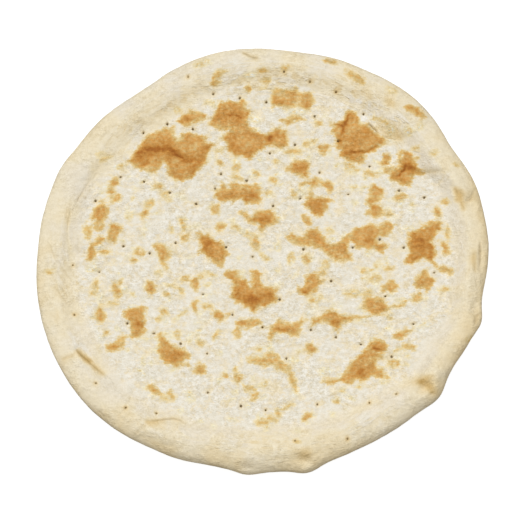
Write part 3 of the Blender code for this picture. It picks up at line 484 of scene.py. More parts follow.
def section(station, bearing):
    """Radius and height along the section: level floor to station 1, smoothstep slope to the crown at 2,
    quarter ellipse to the widest point at 3, and quarter ellipse turning under to the foot at 4."""
    radius, floor_end, inset, crown = rim_sizes(bearing)
    slope = rise(station, 1.0, 1.0)
    wall = rise(station, 2.0, 1.0) * math.pi / 2
    foot = rise(station, 3.0, 1.0) * math.pi / 2
    reach = (np.minimum(station, 1.0) * floor_end + slope * (radius - inset - floor_end)
             + inset * np.sin(wall) - FOOT_INSET * (1.0 - np.cos(foot)))
    height = (FLOOR_HEIGHT + slope * slope * (3.0 - 2.0 * slope) * (crown - FLOOR_HEIGHT)
              - (crown - WAIST_HEIGHT) * (1.0 - np.cos(wall)) - WAIST_HEIGHT * np.sin(foot))
    return reach, height


def station_at(x, y):
    """Station and bearing of points on the top: the section's radius, solved for the station."""
    bearing = np.degrees(np.arctan2(y, x)) % 360.0
    reach = np.hypot(x, y)
    radius, floor_end, inset, _ = rim_sizes(bearing)
    slope = rise(reach, floor_end, radius - inset - floor_end)
    wall = np.arcsin(rise(reach, radius - inset, inset)) * 2 / math.pi
    return np.minimum(reach / floor_end, 1.0) + slope + wall, bearing


def ellipse_place(x, y, at_x, at_y, length, width, turn):
    """Place in an ellipse's own frame, along its length and across it, in half lengths and half widths."""
    c, s = math.cos(math.radians(turn)), math.sin(math.radians(turn))
    along, across = (x - at_x) * c + (y - at_y) * s, (y - at_y) * c - (x - at_x) * s
    return along / (0.5 * length), across / (0.5 * width)


def lobe(x, y, *ellipse):
    """Bell-shaped lobe: 1 at its middle, near 0 half its length or width away."""
    along, across = ellipse_place(x, y, *ellipse)
    return np.exp(-LOBE_STEEPNESS * (along ** 2 + across ** 2))


def spot_distance(x, y, at_x, at_y, length, width, turn):
    """Distance inside an ellipse's edge, outside it minus: 1 - q over the slope of q, q being 1 on the edge.
    Inside a small ellipse it counts for more, so that small spots get their full tone too."""
    along, across = ellipse_place(x, y, at_x, at_y, length, width, turn)
    q = np.hypot(along, across) + 1e-6
    steep = np.hypot(along / (0.5 * length), across / (0.5 * width)) / q
    half = 0.5 * min(length, width)
    inside = np.minimum((1.0 - q) / steep, half)
    return np.where(inside > 0.0, inside * (1.0 + SMALL_BOOST / half), inside)


def patch_distance(x, y, corners):
    """Distance inside a closed outline, outside it minus: the distance to its nearest edge, with the sign
    from how many edges a line towards +X crosses. It is PATCH_DEPTH at most, and FAR_OUTSIDE far outside."""
    outline = np.array(corners, float)
    low, high = outline.min(axis=0) - PATCH_MARGIN, outline.max(axis=0) + PATCH_MARGIN
    near = np.flatnonzero((x > low[0]) & (x < high[0]) & (y > low[1]) & (y < high[1]))
    px, py = x[near], y[near]
    best, inside = np.full(len(near), np.inf), np.zeros(len(near), bool)
    for a, b in zip(outline, np.roll(outline, -1, axis=0)):
        run = b - a
        share = np.clip(((px - a[0]) * run[0] + (py - a[1]) * run[1]) / (run @ run), 0.0, 1.0)
        best = np.minimum(best, np.hypot(px - a[0] - share * run[0], py - a[1] - share * run[1]))
        if run[1] != 0.0:
            inside ^= ((a[1] > py) != (b[1] > py)) & (px < a[0] + (py - a[1]) / run[1] * run[0])
    distance = np.full_like(x, FAR_OUTSIDE)
    distance[near] = np.where(inside, np.minimum(best, PATCH_DEPTH), -best)
    return distance


def nearest(x, y, line):
    """Step from each point to the nearest point of a bent line, its distance to the line's left, minus on the
    right, and a fade from 1 along most of the line to 0 at both ends."""
    corners = np.array(line, float)
    lengths = np.hypot(*np.diff(corners, axis=0).T)
    best = np.full_like(x, np.inf)
    step_x, step_y, place, left = (np.zeros_like(x) for _ in range(4))
    start = 0.0
    for a, b, length in zip(corners[:-1], corners[1:], lengths):
        run_x, run_y = (b - a) / length
        share = np.clip((x - a[0]) * run_x + (y - a[1]) * run_y, 0.0, length)
        to_x, to_y = a[0] + share * run_x - x, a[1] + share * run_y - y
        closer = np.hypot(to_x, to_y) < best
        best = np.where(closer, np.hypot(to_x, to_y), best)
        step_x, step_y = np.where(closer, to_x, step_x), np.where(closer, to_y, step_y)
        place = np.where(closer, (start + share) / lengths.sum(), place)
        left = np.where(closer, np.where(to_x * run_y - to_y * run_x > 0.0, 1.0, -1.0) * best, left)
        start += length
    return step_x, step_y, left, 1.0 - (2.0 * place - 1.0) ** 4


def fold(x, y, line, half_width):
    """Groove along a bent line: 1 on the line, bell-shaped across it, and fading out at both ends."""
    _, _, left, fade = nearest(x, y, line)
    return bell(left / half_width) * fade


def noise(points, size, seed):
    """Soft noise from -1 to 1: seeded values on a cubic lattice of that size, eased between its corners."""
    table = np.random.default_rng(seed).uniform(-1.0, 1.0, (NOISE_TABLE,) * 3)
    place = points / size
    corner = np.floor(place).astype(int)
    ease = place - corner
    ease = ease * ease * (3.0 - 2.0 * ease)
    total = np.zeros(len(points))
    for corner_step in itertools.product((0, 1), repeat=3):
        weight = np.prod(np.where(np.array(corner_step) == 1, ease, 1.0 - ease), axis=1)
        total += weight * table[tuple(((corner + corner_step) % NOISE_TABLE).T)]
    return total


def layered(points, layers):
    """Sum of layers of soft noise, each of them (amount, size, seed)."""
    return sum(amount * noise(points, size, seed) for amount, size, seed in layers)


def sighted(x, y, height):
    """Where points of the top are sighted: towards +Y by SIGHT_LEAN times their height above the floor."""
    return x - SIGHT_START[0], y - SIGHT_START[1] + SIGHT_LEAN * (height - FLOOR_HEIGHT)


def broad_relief(x, y, station, height):
    """What the blisters, bulges, dimples and folds add where the section has the height given."""
    x, y = sighted(x, y, height)
    total = np.zeros_like(x)
    for *ellipse, lift in BLISTERS + RIM_BULGES + DIMPLES:
        total += lift * lobe(x, y, *ellipse)
    for line, half_width, depth in FOLDS:
        total -= FOLD_SHARE * depth * fold(x, y, line, half_width)
    return total * fall(station, *RELIEF_FADE)


def hole_places():
    """Where the pricked holes are and how open they are, from RIM_HOLE on the rim to 1 in the floor.
    The places are worked back from where they are sighted: each step takes the height found last."""
    places = []
    for row in PRICK_ROWS:
        first_x, first_y, count, turn, pitch = (*row, 1, 0, 0)[:5]
        step_x, step_y = pitch * math.cos(math.radians(turn)), pitch * math.sin(math.radians(turn))
        places += [(first_x + step_x * k, first_y + step_y * k) for k in range(count)]
    x, sighted_y = np.array(places).T + np.array(SIGHT_START)[:, None]
    height = np.full_like(x, FLOOR_HEIGHT)
    for _ in range(8):
        y = sighted_y - SIGHT_LEAN * (height - FLOOR_HEIGHT)
        station, bearing = station_at(x, y)
        height = section(station, bearing)[1]
        height = height + broad_relief(x, y, station, height)
    return list(zip(x, y, np.maximum(fall(station, *RIM_HOLE_FADE), RIM_HOLE)))


def disc_grid():
    """Square grid laid on a disc: each square ring becomes a circle, its points spread evenly round it.
    Gives ring number and bearing for every grid point, row by row."""
    step = np.arange(-RINGS, RINGS + 1, dtype=float)
    across, up = (part.ravel() for part in np.meshgrid(step, step, indexing="ij"))
    ring = np.maximum(abs(across), abs(up))
    flat = abs(across) >= abs(up)
    lean = np.where(flat, up / np.where(across == 0.0, 1.0, across), across / np.where(up == 0.0, 1.0, up))
    bearing = np.where(flat, np.where(across < 0.0, 180.0, 0.0) + 45.0 * lean,
                       np.where(up < 0.0, 270.0, 90.0) - 45.0 * lean)
    return ring, bearing % 360.0


def drawn_in(x, y, height, holes):
    """Points moved towards the holes, tucks and cracks, where the skin needs more of them.
    A distance becomes itself times 1 - pull * bell(distance)."""
    for at_x, at_y, _ in holes:
        pull = HOLE_PULL * bell(np.hypot(x - at_x, y - at_y) / HOLE_PULL_REACH)
        x, y = x + pull * (at_x - x), y + pull * (at_y - y)
    for line in [row[0] for row in TUCKS if row[1] < WIDEST_PULLED_TUCK] + [
            row[0] for row in CRACKS if row[1] < WIDEST_PULLED_CRACK]:
        step_x, step_y, left, _ = nearest(*sighted(x, y, height), line)
        pull = LINE_PULL * bell(left / LINE_PULL_REACH)
        x, y = x + pull * step_x, y + pull * step_y
    return x, y


def browning(x, y):
    """Distance inside the toasted spots and how dark they are: a soft maximum over all spots,
    whose edges are made uneven by noise."""
    flat = np.column_stack((x, y, np.zeros_like(x)))
    x, y = x + layered(flat, SPOT_WANDER_X), y + layered(flat, SPOT_WANDER_Y)
    draw = np.random.default_rng(FRECKLE_SEED)
    reach = FRECKLE_REACH * np.sqrt(draw.uniform(0.0, 1.0, FRECKLES))
    around = draw.uniform(0.0, 2 * math.pi, FRECKLES)
    strewn = zip(reach * np.cos(around), reach * np.sin(around),
                 *(draw.uniform(*span, FRECKLES) for span in FRECKLE_SPANS))
    patches = ((patch_distance(x, y, corners), dark) for dark, corners in PATCHES)
    spots = ((spot_distance(x, y, *ellipse), dark) for *ellipse, dark in (*SPOTS, *strewn))
    total, toast = np.zeros_like(x), np.zeros_like(x)
    for distance, dark in itertools.chain(patches, spots):
        close = np.exp(distance / SPOT_BLEND)
        total += close
        toast += close * dark
    toast /= total + 1e-9
    for *ellipse, dark in SHADES:
        toast += dark * lobe(x, y, *ellipse)
    for line, half_width, dark in CRACKS:
        toast += dark * fold(x, y, line, half_width)
    return SPOT_BLEND * np.log(total + 1e-4), 0.01 * np.maximum(toast, 0.0)


def top_skin():
    """Points of the top, from the floor's middle over the rim to the foot, with what their finish needs."""
    ring, bearing = disc_grid()
    station = np.interp(ring, np.cumsum((0, *STATION_RINGS)), np.arange(5.0))
    reach, height = section(station, bearing)
    x, y = reach * np.cos(np.radians(bearing)), reach * np.sin(np.radians(bearing))
    holes = hole_places()
    near_x, near_y = drawn_in(x, y, height, holes)
    moved = fall(station, *PULL_FADE)
    x, y = x + moved * (near_x - x), y + moved * (near_y - y)
    new_station, new_bearing = station_at(x, y)
    station = np.where(moved > 0.0, new_station, station)
    height = np.where(moved > 0.0, section(new_station, new_bearing)[1], height)
    height += broad_relief(x, y, station, height)

    seen = sighted(x, y, height)
    spot, toast = browning(*seen)
    relief = SPOT_RISE * rise(spot, 0.0, 3.0)
    painted_shade, straw, drawn, pit = (np.zeros_like(x) for _ in range(4))
    # The bottom of each tuck is darkened with olive painted shade.
    for line, half_width, depth, lip, dark, tone in TUCKS:
        _, _, left, ends = nearest(*seen, line)
        relief += ends * (raised_lip(left / half_width, lip) - depth * bell(left / half_width))
        painted_shade = np.maximum(painted_shade, dark * ends * bell(left / (1.1 * half_width)))
        straw += tone * ends * bell(left / (1.6 * half_width + 0.8))
    # The hollows get olive painted shade and straw tone.
    for *ellipse, dark, tone in HOLLOWS:
        here = lobe(*seen, *ellipse)
        painted_shade = np.maximum(painted_shade, dark * here)
        straw += tone * here
    for *ellipse, share in STRETCHED:
        drawn = np.maximum(drawn, share * lobe(*seen, *ellipse))
    for at_x, at_y, opened in holes:
        away = np.hypot(x - at_x, y - at_y)
        pit += opened * np.exp(-(away / PIT_RADIUS) ** 3)
        relief -= opened * DISH_DEPTH * bell(away / DISH_RADIUS)
        straw += (STAIN_TONE - STAIN_LOSS * opened) * bell(away / STAIN_RADIUS)
    relief -= PIT_DEPTH * pit * pit
    straw += rise(station, *WALL_STRAW_START) * (WALL_STRAW + swell(bearing, WALL_STRAW_SWELLS))
    straw += rise(station, *RIM_STRAW_START) * swell(bearing, RIM_STRAW_SWELLS)
    height += relief * fall(station, *RELIEF_FADE)
    points = np.column_stack((x, y, height))
    finest = skin_relief(points, station, drawn) * fall(station, *FINEST_FADE)
    points += finest[:, None] * grid_normals(points)
    points[:, 2] = np.maximum(points[:, 2], 0.0)
    return points, ring, bearing, {
        "spot": spot, "toast": toast, "pit": np.minimum(pit, 1.0), "painted_shade": painted_shade, "straw": straw,
        "drawn": drawn, "skin": rim_skin(bearing, points),
    }


def raised_lip(across, lip):
    """Lip of a tuck, on its one side: the distance across times a bell."""
    side = np.where(across * np.sign(lip) > 0.0, abs(lip), 0.0)
    return side * abs(across) / LIP_AT * np.exp(0.5 - 0.5 * (across / LIP_AT) ** 2)


def rim_skin(bearing, points):
    """1 on the bare skin of the rim and 0 on the floured floor: SKIN_WIDTH and its swells give the border's
    distance from the widest point, and noise makes it wander."""
    width = SKIN_WIDTH + swell(bearing, SKIN_WIDTH_SWELLS)
    border = rim_sizes(bearing)[0] - width + layered(points, BORDER_WANDER)
    return rise(np.hypot(points[:, 0], points[:, 1]), border - 0.5 * SKIN_BORDER, SKIN_BORDER)


def skin_relief(points, station, drawn):
    """Lumps of several sizes, fainter on the rim, and stretch lines where the skin is drawn: noise that is
    long round the crust and short across it, sharpened to narrow grooves."""
    x, y, height = points.T
    reach = np.hypot(x, y) + 1e-6
    wound = np.column_stack((GROOVE_ROUND * x / reach, GROOVE_ROUND * y / reach,
                             GROOVE_ACROSS * (reach - height)))
    grooves = np.maximum(1.0 - GROOVE_SHARPNESS * abs(layered(wound, GROOVES)), 0.0)
    on_rim = rise(station, *RIM_START)
    depth = GROOVE_DEPTH + DRAWN_GROOVE_DEPTH * drawn
    return layered(points, LUMPS) * (1.0 - RIM_SMOOTHNESS * on_rim) - depth * on_rim * grooves


def grid_normals(points):
    """Unit normals of a square grid of points, from the steps along its two directions."""
    grid = points.reshape(2 * RINGS + 1, 2 * RINGS + 1, 3)
    normals = np.cross(np.gradient(grid, axis=0), np.gradient(grid, axis=1)).reshape(-1, 3)
    return normals / (np.linalg.norm(normals, axis=1, keepdims=True) + 1e-12)


def grid_quads():
    """Corners of every cell of the square grid, anticlockwise from above."""
    side = 2 * RINGS + 1
    corner = (np.arange(side - 1)[:, None] * side + np.arange(side - 1)).ravel()
    return np.column_stack((corner, corner + side, corner + side + 1, corner + 1))


def base_skin(foot_points, foot_bearings, first):
    """Points and faces of the underside: rings of ever fewer points drawn in from the foot to the middle.
    It lies on the table, and shallow hollows rise from it."""
    rings, faces = [], []
    outer, count = None, first
    reach = np.hypot(foot_points[:, 0], foot_points[:, 1])
    for share, divide in BASE_RINGS:
        turned = np.radians(foot_bearings[::divide])
        rings.append(share * reach[::divide] * (np.cos(turned), np.sin(turned), 0.0 * turned))
        inner = count + np.arange(len(turned))
        if outer is not None:
            faces += joined_rings(outer, inner)
        outer, count = inner, count + len(turned)
    points = np.concatenate((*(ring.T for ring in rings), np.zeros((1, 3))))
    faces.append(np.column_stack((np.full(len(outer), count), np.roll(outer, -1), outer)))
    inside = fall(np.hypot(points[:, 0], points[:, 1]) / reach.mean(), *BASE_EDGE)
    points[:, 2] = inside * BASE_HOLLOWS * np.maximum(layered(points, BASE_LUMPS), 0.0)
    return points, faces


def joined_rings(outer, inner):
    """Downward faces between two rings, the inner one having as many points as the outer or half of them."""
    if len(inner) == len(outer):
        return [np.column_stack((outer, inner, np.roll(inner, -1), np.roll(outer, -1)))]
    even, odd, after = outer[::2], outer[1::2], np.roll(outer, -1)[1::2]
    ahead = np.roll(inner, -1)
    corners = (even, inner, odd), (inner, ahead, odd), (odd, ahead, after)
    return [np.column_stack(triangle) for triangle in corners]


TOP_DISC = (0.418, 0.418, 0.412)     # middle and radius of the top on the texture map
BASE_DISC = (0.843, 0.843, 0.150)


def add_object(name, data):
    """A new object in the scene."""
    made = bpy.data.objects.new(name, data)
    bpy.context.scene.collection.objects.link(made)
    return made


def make_crust():
    """The closed skin: the top's grid, the underside's rings, attributes and texture map."""
    top, ring, bearing, finish = top_skin()
    edge = np.flatnonzero(ring == RINGS)
    foot = edge[np.argsort(bearing[edge])]
    base, base_faces = base_skin(top[foot], bearing[foot], len(top))
    base_faces += joined_rings(foot, len(top) + np.arange(len(foot)))
    points = np.concatenate((top, base))
    low, high = (np.array(corner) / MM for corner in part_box("crust"))
    least, most = points.min(axis=0), points.max(axis=0)
    points = low + (points - least) * (high - low) / (most - least)
    top_quads = grid_quads()
    faces = [corners for part in (top_quads, *base_faces) for corners in part.tolist()]
    mesh = bpy.data.meshes.new("baked_crust")
    mesh.from_pydata((points * MM).tolist(), [], faces)
    for name, values in finish.items():
        attribute = mesh.attributes.new(name, "FLOAT", "POINT")
        attribute.data.foreach_set("value", np.concatenate((values, np.zeros(len(base)))).astype(np.float32))

    base_share = np.hypot(base[:, 0], base[:, 1]) / np.hypot(*top[foot][:, :2].T).max()
    turned = np.concatenate((np.radians(bearing), np.arctan2(base[:, 1], base[:, 0])))
    share = np.concatenate((ring / RINGS, base_share))
    corners = np.zeros(len(mesh.loops), np.int32)
    mesh.loops.foreach_get("vertex_index", corners)
    on_top = np.arange(len(corners)) < 4 * len(top_quads)
    share = np.where(~on_top & (corners < len(top)), 1.0, share[corners])
    disc = np.where(on_top[:, None], TOP_DISC, BASE_DISC)
    spoke = np.column_stack((np.cos(turned[corners]), np.sin(turned[corners])))
    uv = disc[:, :2] + (disc[:, 2] * share)[:, None] * spoke
    mesh.uv_layers.new(name="OFBake").data.foreach_set("uv", uv.astype(np.float32).ravel())

    mesh.shade_smooth()
    mesh.materials.append(top_material())
    mesh.materials.append(base_material())
    slots = np.zeros(len(faces), np.int32)
    slots[len(top_quads):] = 1
    mesh.polygons.foreach_set("material_index", slots)
    crust = add_object("baked_crust", mesh)
    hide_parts("crust")
    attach(crust, "root")
    return crust


# ---------------------------------------------------------------- materials
def shade(red, green, blue):
    """A colour given as display values from 0 to 255, made linear."""
    parts = (value / 255.0 for value in (red, green, blue))
    return (*(part / 12.92 if part <= 0.04045 else ((part + 0.055) / 1.055) ** 2.4 for part in parts), 1.0)


# Olive painted shade for the hollows and the bottoms of the tucks.
SHADE_OLIVE = shade(150, 124, 70)
# Dark painted shade inside the pricked holes.
PIT_SHADE = shade(112, 88, 44)
BAKE_RAMP = tuple((place, shade(*colour)) for place, *colour in (
    # from white flour over cream, straw and gold to deep brown
    (0.0, 240, 237, 227), (0.02, 234, 229, 213), (0.05, 234, 225, 203), (0.08, 237, 226, 197),
    (0.13, 235, 219, 181), (0.18, 231, 210, 164), (0.24, 226, 201, 149), (0.3, 222, 192, 134),
    (0.37, 218, 183, 119), (0.46, 213, 170, 102), (0.57, 206, 155, 85), (0.7, 197, 141, 67),
    (0.85, 182, 121, 48), (1.0, 162, 99, 33),
))
SHEEN = 0.22                    # Specular IOR Level of the dull skin


class Mask:
    """A value or colour that a node puts out. Adding, subtracting and multiplying masks makes Math nodes."""

    def __init__(self, node, output=0):
        self.node = node
        self.tree = node.id_data
        self.socket = node.outputs[output]

    def out(self, name):
        """Another output of the same node."""
        return Mask(self.node, name)

    def maths(self, operation, *values):
        """What a Math node makes of the values."""
        return put(self.tree, "ShaderNodeMath", dict(enumerate(values)), operation=operation)

    def __add__(self, other):
        return self.maths("ADD", self, other)

    def __sub__(self, other):
        return self.maths("SUBTRACT", self, other)

    def __rsub__(self, other):
        return self.maths("SUBTRACT", other, self)

    def __mul__(self, other):
        return self.maths("MULTIPLY", self, other)

    def __abs__(self):
        return self.maths("ABSOLUTE", self)


def feed(node, inputs):
    """A node's inputs, by name or number: a mask is linked, and anything else is set."""
    for name, value in inputs.items():
        if isinstance(value, Mask):
            node.id_data.links.new(value.socket, node.inputs[name])
        else:
            node.inputs[name].default_value = value


def put(tree, kind, inputs, output=0, **settings):
    """What a new node puts out, once it has its settings and its inputs."""
    node = tree.nodes.new(kind)
    for name, value in settings.items():
        setattr(node, name, value)
    feed(node, inputs)
    return Mask(node, output)


def grain(place, size, detail=2.0, rough=0.55):
    """Noise from 0 to 1 whose lumps are about that many millimetres wide."""
    inputs = {"Vector": place, "Scale": 1.0 / size, "Detail": detail, "Roughness": rough}
    return put(place.tree, "ShaderNodeTexNoise", inputs)


def swing(value, amount):
    """A noise value made to swing evenly about zero by that amount."""
    return (value - 0.5) * (2.0 * amount)


def ease(value, low, high, top=1.0):
    """Smooth step from 0 at low to top at high."""
    inputs = {"Value": value, "From Min": low, "From Max": high, "To Min": 0.0, "To Max": top}
    return put(value.tree, "ShaderNodeMapRange", inputs, interpolation_type="SMOOTHSTEP")


def blend(share, first, second):
    """Two values mixed: the first at share 0, the second at share 1."""
    return put(share.tree, "ShaderNodeMix", {0: share, 2: first, 3: second})


def mix(share, first, second):
    """Two colours mixed, as values are by blend."""
    return put(share.tree, "ShaderNodeMix", {0: share, 6: first, 7: second}, 2, data_type="RGBA")


def ramp(value, stops):
    """Colour along a ramp of (place, colour) stops."""
    made = put(value.tree, "ShaderNodeValToRGB", {0: value})
    elements = made.node.color_ramp.elements
    while len(elements) < len(stops):
        elements.new(1.0)
    for element, (place, colour) in zip(elements, stops):
        element.position = place
        element.color = colour
    return made


def millimetres(tree, stretch=(1.0, 1.0, 1.0)):
    """Object coordinates in millimetres, squeezed along each axis by stretch."""
    place = put(tree, "ShaderNodeTexCoord", {}, "Object")
    return put(tree, "ShaderNodeMapping", {"Vector": place, "Scale": [part / MM for part in stretch]})


def attribute(tree, name):
    """A value kept at the mesh's points."""
    return put(tree, "ShaderNodeAttribute", {}, "Fac", attribute_name=name)


def tinted(colour, tone):
    """A colour multiplied by another about white."""
    return put(colour.tree, "ShaderNodeVectorMath", {0: colour, 1: tone}, operation="MULTIPLY")


def shaded(colour, amount):
    """A colour made lighter or darker by an amount about 0, its blue most of all."""
    inputs = {0: amount, 1: (1.0, 1.2, 1.7), 2: (1.0, 1.0, 1.0)}
    return tinted(colour, put(colour.tree, "ShaderNodeVectorMath", inputs, operation="MULTIPLY_ADD"))


def dusted_flour(place, amount):
    """Dusted flour: how bare the dough is between its white clumps, from lumps of two sizes, and a height
    that is high on the clumps. Amount shifts how bare it is."""
    both = grain(place, 5.0, 4.0, 0.62) * 0.76 + grain(place, 1.5, 2.0, 0.5) * 0.24
    return {"Bare": ease(both + amount, 0.44, 0.68), "Height": 1.0 - both}


def fine_crumb(place):
    """Fine crumb of the crust: a height, and a tone about 0 that makes the colour uneven."""
    fine = grain(place, 0.9, 2.0, 0.6)
    broad = grain(place, 2.4, 2.0, 0.5)
    return {"Height": fine * 0.5 + broad, "Tone": swing(fine, 0.21) + swing(broad, 0.21)}


GROUPS = {}


def placed(tree, build, inputs):
    """A shared node group, built once and placed in this material with its own values. Of its sockets only
    Place is a vector, and the others are numbers."""
    if build not in GROUPS:
        group = bpy.data.node_groups.new(build.__name__, "ShaderNodeTree")
        for name in inputs:
            kind = "NodeSocketVector" if name == "Place" else "NodeSocketFloat"
            group.interface.new_socket(name, in_out="INPUT", socket_type=kind)
        entry = group.nodes.new("NodeGroupInput")
        results = build(*(Mask(entry, name) for name in inputs))
        for name in results:
            group.interface.new_socket(name, in_out="OUTPUT", socket_type="NodeSocketFloat")
        feed(group.nodes.new("NodeGroupOutput"), results)
        GROUPS[build] = group
    return put(tree, "ShaderNodeGroup", inputs, node_tree=GROUPS[build])


def stretch_lines(place):
    """Fine lines that run round the rim: noise that is long round the crust and short across it."""
    tree = place.tree
    parts = put(tree, "ShaderNodeSeparateXYZ", {0: place})
    flat = put(tree, "ShaderNodeCombineXYZ", {0: parts, 1: parts.out(1)})
    reach = put(tree, "ShaderNodeVectorMath", {0: flat}, "Value", operation="LENGTH")
    round_it = put(tree, "ShaderNodeVectorMath", {0: flat}, operation="NORMALIZE")
    turned = put(tree, "ShaderNodeSeparateXYZ", {0: round_it})
    wound = put(tree, "ShaderNodeCombineXYZ", {
        0: turned * 5.0, 1: turned.out(1) * 5.0, 2: (reach - parts.out(2)) * 0.38})
    value = grain(wound, 1.0, 3.0, 0.62)
    ridge = ease(abs(value - 0.5), 0.1, 0.0) * ease(grain(place, 5.0), 0.34, 0.58)
    return ridge * 0.8 + ease(value, 0.5, 0.34, 0.5) - 0.28


def new_material(name):
    """A material that uses nodes."""
    material = bpy.data.materials.new(name)
    material.use_nodes = True
    return material


def finished(material, colour, rough, height, strength, distance):
    """The material, once its shader has a colour, a roughness and a bump."""
    inputs = {"Height": height, "Strength": strength, "Distance": distance * MM}
    bump = put(colour.tree, "ShaderNodeBump", inputs)
    feed(colour.tree.nodes["Principled BSDF"], {
        "Base Color": colour, "Roughness": rough, "Normal": bump, "Specular IOR Level": SHEEN})
    return material


def top_material():
    """Baked top. One tone of baking, from white flour to deep brown, is worked out for the floured floor, the
    rim's bare skin and the toasted spots, and gives the colour. Olive painted shade in the hollows and tucks,
    painted shade along the stretch lines and dark painted shade in the pits come last."""
    material = new_material("baked_top")
    tree = material.node_tree
    place = millimetres(tree)
    flat_streaks = grain(millimetres(tree, (0.32, 1.0, 1.0)), 1.3)
    skin, spot, toast, straw, painted_shade, pit, drawn = (
        attribute(tree, name) for name in ("skin", "spot", "toast", "straw", "painted_shade", "pit", "drawn"))
    laid = millimetres(tree, (0.78, 0.96, 1.0))
    flour = placed(tree, dusted_flour, {"Place": laid, "Amount": swing(grain(place, 26.0), 0.12)})
    crumb = placed(tree, fine_crumb, {"Place": laid})
    bare = flour.out("Bare")
    lines = stretch_lines(place) * drawn * ease(skin, -0.4, 0.8)
    coarse = ease(grain(place, 15.0), 0.36, 0.64, 0.68) + 0.66

    fleck = ease(grain(millimetres(tree, (0.6, 1.0, 1.0)), 1.9), 0.58, 0.74)
    fleck = fleck * ease(grain(place, 14.0), 0.35, 0.6, 0.058)
    floor = bare * 0.082 + 0.018 + fleck
    rim = ease(grain(place, 26.0), 0.34, 0.66, 0.055) + 0.04 + fleck * 0.35
    bake = blend(skin, floor, rim) + lines * 0.13 + straw

    ragged = swing(grain(place, 3.0, 3.0), 2.0) + swing(flat_streaks, 2.0) + swing(grain(place, 1.2), 0.9)
    inside = spot + ragged * (1.0 - ease(spot, 0.5, 2.8, 0.8))
    covered = ease(inside, -2.2, 2.0) * ease(toast, 0.0, 0.12)
    uneven = swing(grain(place, 7.0), 0.3) + swing(grain(place, 2.2, 3.0), 0.34) + swing(flat_streaks, 0.3)
    toasted = toast + uneven * ease(inside, -0.5, 2.0)
    colour = ramp(blend(covered, bake, toasted), BAKE_RAMP)
    golden = covered * ease(inside, 4.0, 0.5)
    colour = tinted(colour, mix(golden, (1.0, 0.99, 1.0, 1.0), (0.995, 1.025, 1.0, 1.0)))

    # Olive painted shade in the hollows and the bottoms of the tucks.
    colour = mix(painted_shade, colour, SHADE_OLIVE)
    tone = crumb.out("Tone") * (skin * -0.4 + 1.0) * coarse + covered * swing(flat_streaks, 0.35)
    # Along the stretch lines the colour is darkened with painted shade of their grooves.
    tone = tone - bare * (skin * -0.022 + 0.022) - lines * 0.13
    # The pricked holes are darkened with painted shade.
    colour = mix(ease(pit, 0.2, 0.85, 0.75), shaded(colour, tone), PIT_SHADE)
    height = crumb.out("Height") * 0.8 + flour.out("Height") * 0.8 + flat_streaks * 0.7
    height = height * coarse - lines * 0.9
    return finished(material, colour, 0.88 - covered * 0.22, height, strength=1.0, distance=0.66)


def base_material():
    """Underside: flour rubbed into the dough, with light even toasting where it lay on the oven's floor."""
    material = new_material("baked_underside")
    tree = material.node_tree
    place = millimetres(tree)
    flour = placed(tree, dusted_flour, {"Place": place, "Amount": swing(grain(place, 30.0), 0.16)})
    crumb = placed(tree, fine_crumb, {"Place": place})
    marks = grain(place, 19.0, 4.0, 0.62) + swing(grain(place, 3.0), 0.08)
    covered = ease(marks, 0.46, 0.62)
    bake = blend(covered, flour.out("Bare") * 0.14, ease(marks, 0.5, 0.78, 0.6) + 0.2)
    colour = shaded(ramp(bake, BAKE_RAMP), crumb.out("Tone"))
    height = crumb.out("Height") * 0.5 + flour.out("Height")
    return finished(material, colour, 0.9 - covered * 0.2, height, strength=0.6, distance=0.35)


# ---------------------------------------------------------------- stage, light and camera
IMAGE_PIXELS = 530
PIXEL_SIZE = 0.6748             # millimetres of the crust for one picture element
CAMERA_DISTANCE = 5000.0
CAMERA_ELEVATION = 72.0
SENSOR_WIDTH = 36.0
AIM_HEIGHT = 9.0
MIDDLE_AT = (262.7, 258.7)      # where the aimed point falls in the picture
STAGE_HALF = 12.0               # metres from the middle of the pale floor to its sides
STAGE_HEIGHT = -0.2 * MM
STAGE_GLOW = 0.84
LAMP_ENERGY = 0.99
LAMP_ANGLE = 40.0
LAMP_FROM = (-0.22, 0.52, 1.0)
BACKGROUND = (0.96, 0.96, 0.96, 1.0)
DOME = (                        # light from straight below (0) over the horizon (0.5) to overhead (1)
    (0.0, (0.19, 0.17, 0.135, 1.0)), (0.46, (0.22, 0.2, 0.16, 1.0)), (0.54, (0.34, 0.32, 0.28, 1.0)),
    (0.7, (0.61, 0.59, 0.54, 1.0)), (0.85, (0.775, 0.77, 0.75, 1.0)), (1.0, (0.875, 0.88, 0.9, 1.0)),
)


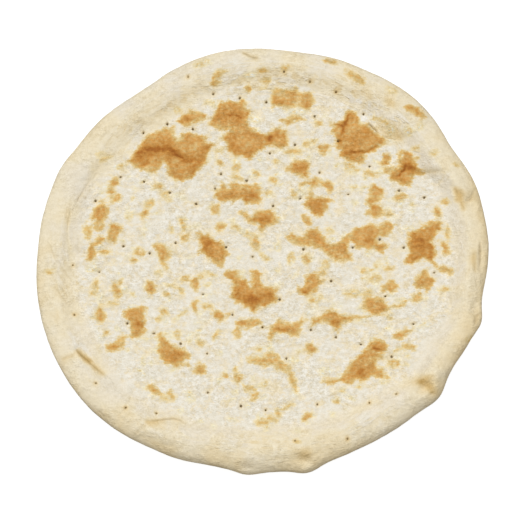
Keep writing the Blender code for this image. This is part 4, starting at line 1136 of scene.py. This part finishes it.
def add_stage():
    """A plain pale floor that only the camera sees from above; its own light keeps it near white."""
    mesh = bpy.data.meshes.new("pale_floor")
    corners = (-1, -1), (1, -1), (1, 1), (-1, 1)
    mesh.from_pydata([(STAGE_HALF * x, STAGE_HALF * y, STAGE_HEIGHT) for x, y in corners], [], [(0, 1, 2, 3)])
    floor = add_object("pale_floor", mesh)
    material = new_material("pale_floor")
    tree = material.node_tree
    tree.nodes.remove(tree.nodes["Principled BSDF"])
    lit = put(tree, "ShaderNodeBsdfDiffuse", {"Color": (0.4, 0.4, 0.4, 1.0)})
    glow = put(tree, "ShaderNodeEmission", {"Color": (1.0, 1.0, 1.0, 1.0), "Strength": STAGE_GLOW})
    both = put(tree, "ShaderNodeAddShader", {0: lit, 1: glow})
    behind = put(tree, "ShaderNodeNewGeometry", {}, "Backfacing")
    clear = put(tree, "ShaderNodeBsdfTransparent", {})
    shown = put(tree, "ShaderNodeMixShader", {0: behind, 1: both, 2: clear})
    feed(tree.nodes["Material Output"], {"Surface": shown})
    mesh.materials.append(material)
    floor.visible_diffuse = False
    floor.visible_glossy = False
    floor.visible_transmission = False
    floor.visible_shadow = False


def add_light():
    """Soft studio light: a broad lamp high behind the crust, a little to the left, and a pale dome that is
    brightest overhead and dim below the horizon."""
    lamp = bpy.data.lights.new("soft_lamp", "SUN")
    lamp.energy = LAMP_ENERGY
    lamp.angle = math.radians(LAMP_ANGLE)
    item = add_object("soft_lamp", lamp)
    item.rotation_mode = "QUATERNION"
    item.rotation_quaternion = Vector(LAMP_FROM).to_track_quat("Z", "Y")
    world = bpy.data.worlds.new("studio_dome")
    world.use_nodes = True
    tree = world.node_tree
    height = put(tree, "ShaderNodeSeparateXYZ", {0: put(tree, "ShaderNodeTexCoord", {}, "Generated")}, 2)
    seen = put(tree, "ShaderNodeLightPath", {}, "Is Camera Ray")
    feed(tree.nodes["Background"], {"Color": mix(seen, ramp(height * 0.5 + 0.5, DOME), BACKGROUND)})
    bpy.context.scene.world = world


def add_camera():
    """Camera at the viewing angle, moved sideways so that the crust's middle falls where it should."""
    tilt = math.radians(CAMERA_ELEVATION)
    back = Vector((0.0, -math.cos(tilt), math.sin(tilt)))
    up = Vector((0.0, math.sin(tilt), math.cos(tilt)))
    off = [(place - 0.5 * IMAGE_PIXELS) * PIXEL_SIZE for place in MIDDLE_AT]
    camera = add_object("camera", bpy.data.cameras.new("camera"))
    aim = Vector((-off[0], 0.0, AIM_HEIGHT)) + back * CAMERA_DISTANCE + up * off[1]
    camera.location = aim * MM
    camera.rotation_mode = "QUATERNION"
    camera.rotation_quaternion = back.to_track_quat("Z", "Y")
    camera.data.sensor_width = SENSOR_WIDTH
    camera.data.lens = SENSOR_WIDTH * CAMERA_DISTANCE / (IMAGE_PIXELS * PIXEL_SIZE)
    camera.data.clip_start, camera.data.clip_end = 0.1, 100.0
    bpy.context.scene.camera = camera


add_camera()
add_stage()
add_light()
make_crust()
bpy.context.scene.view_settings.view_transform = "Standard"
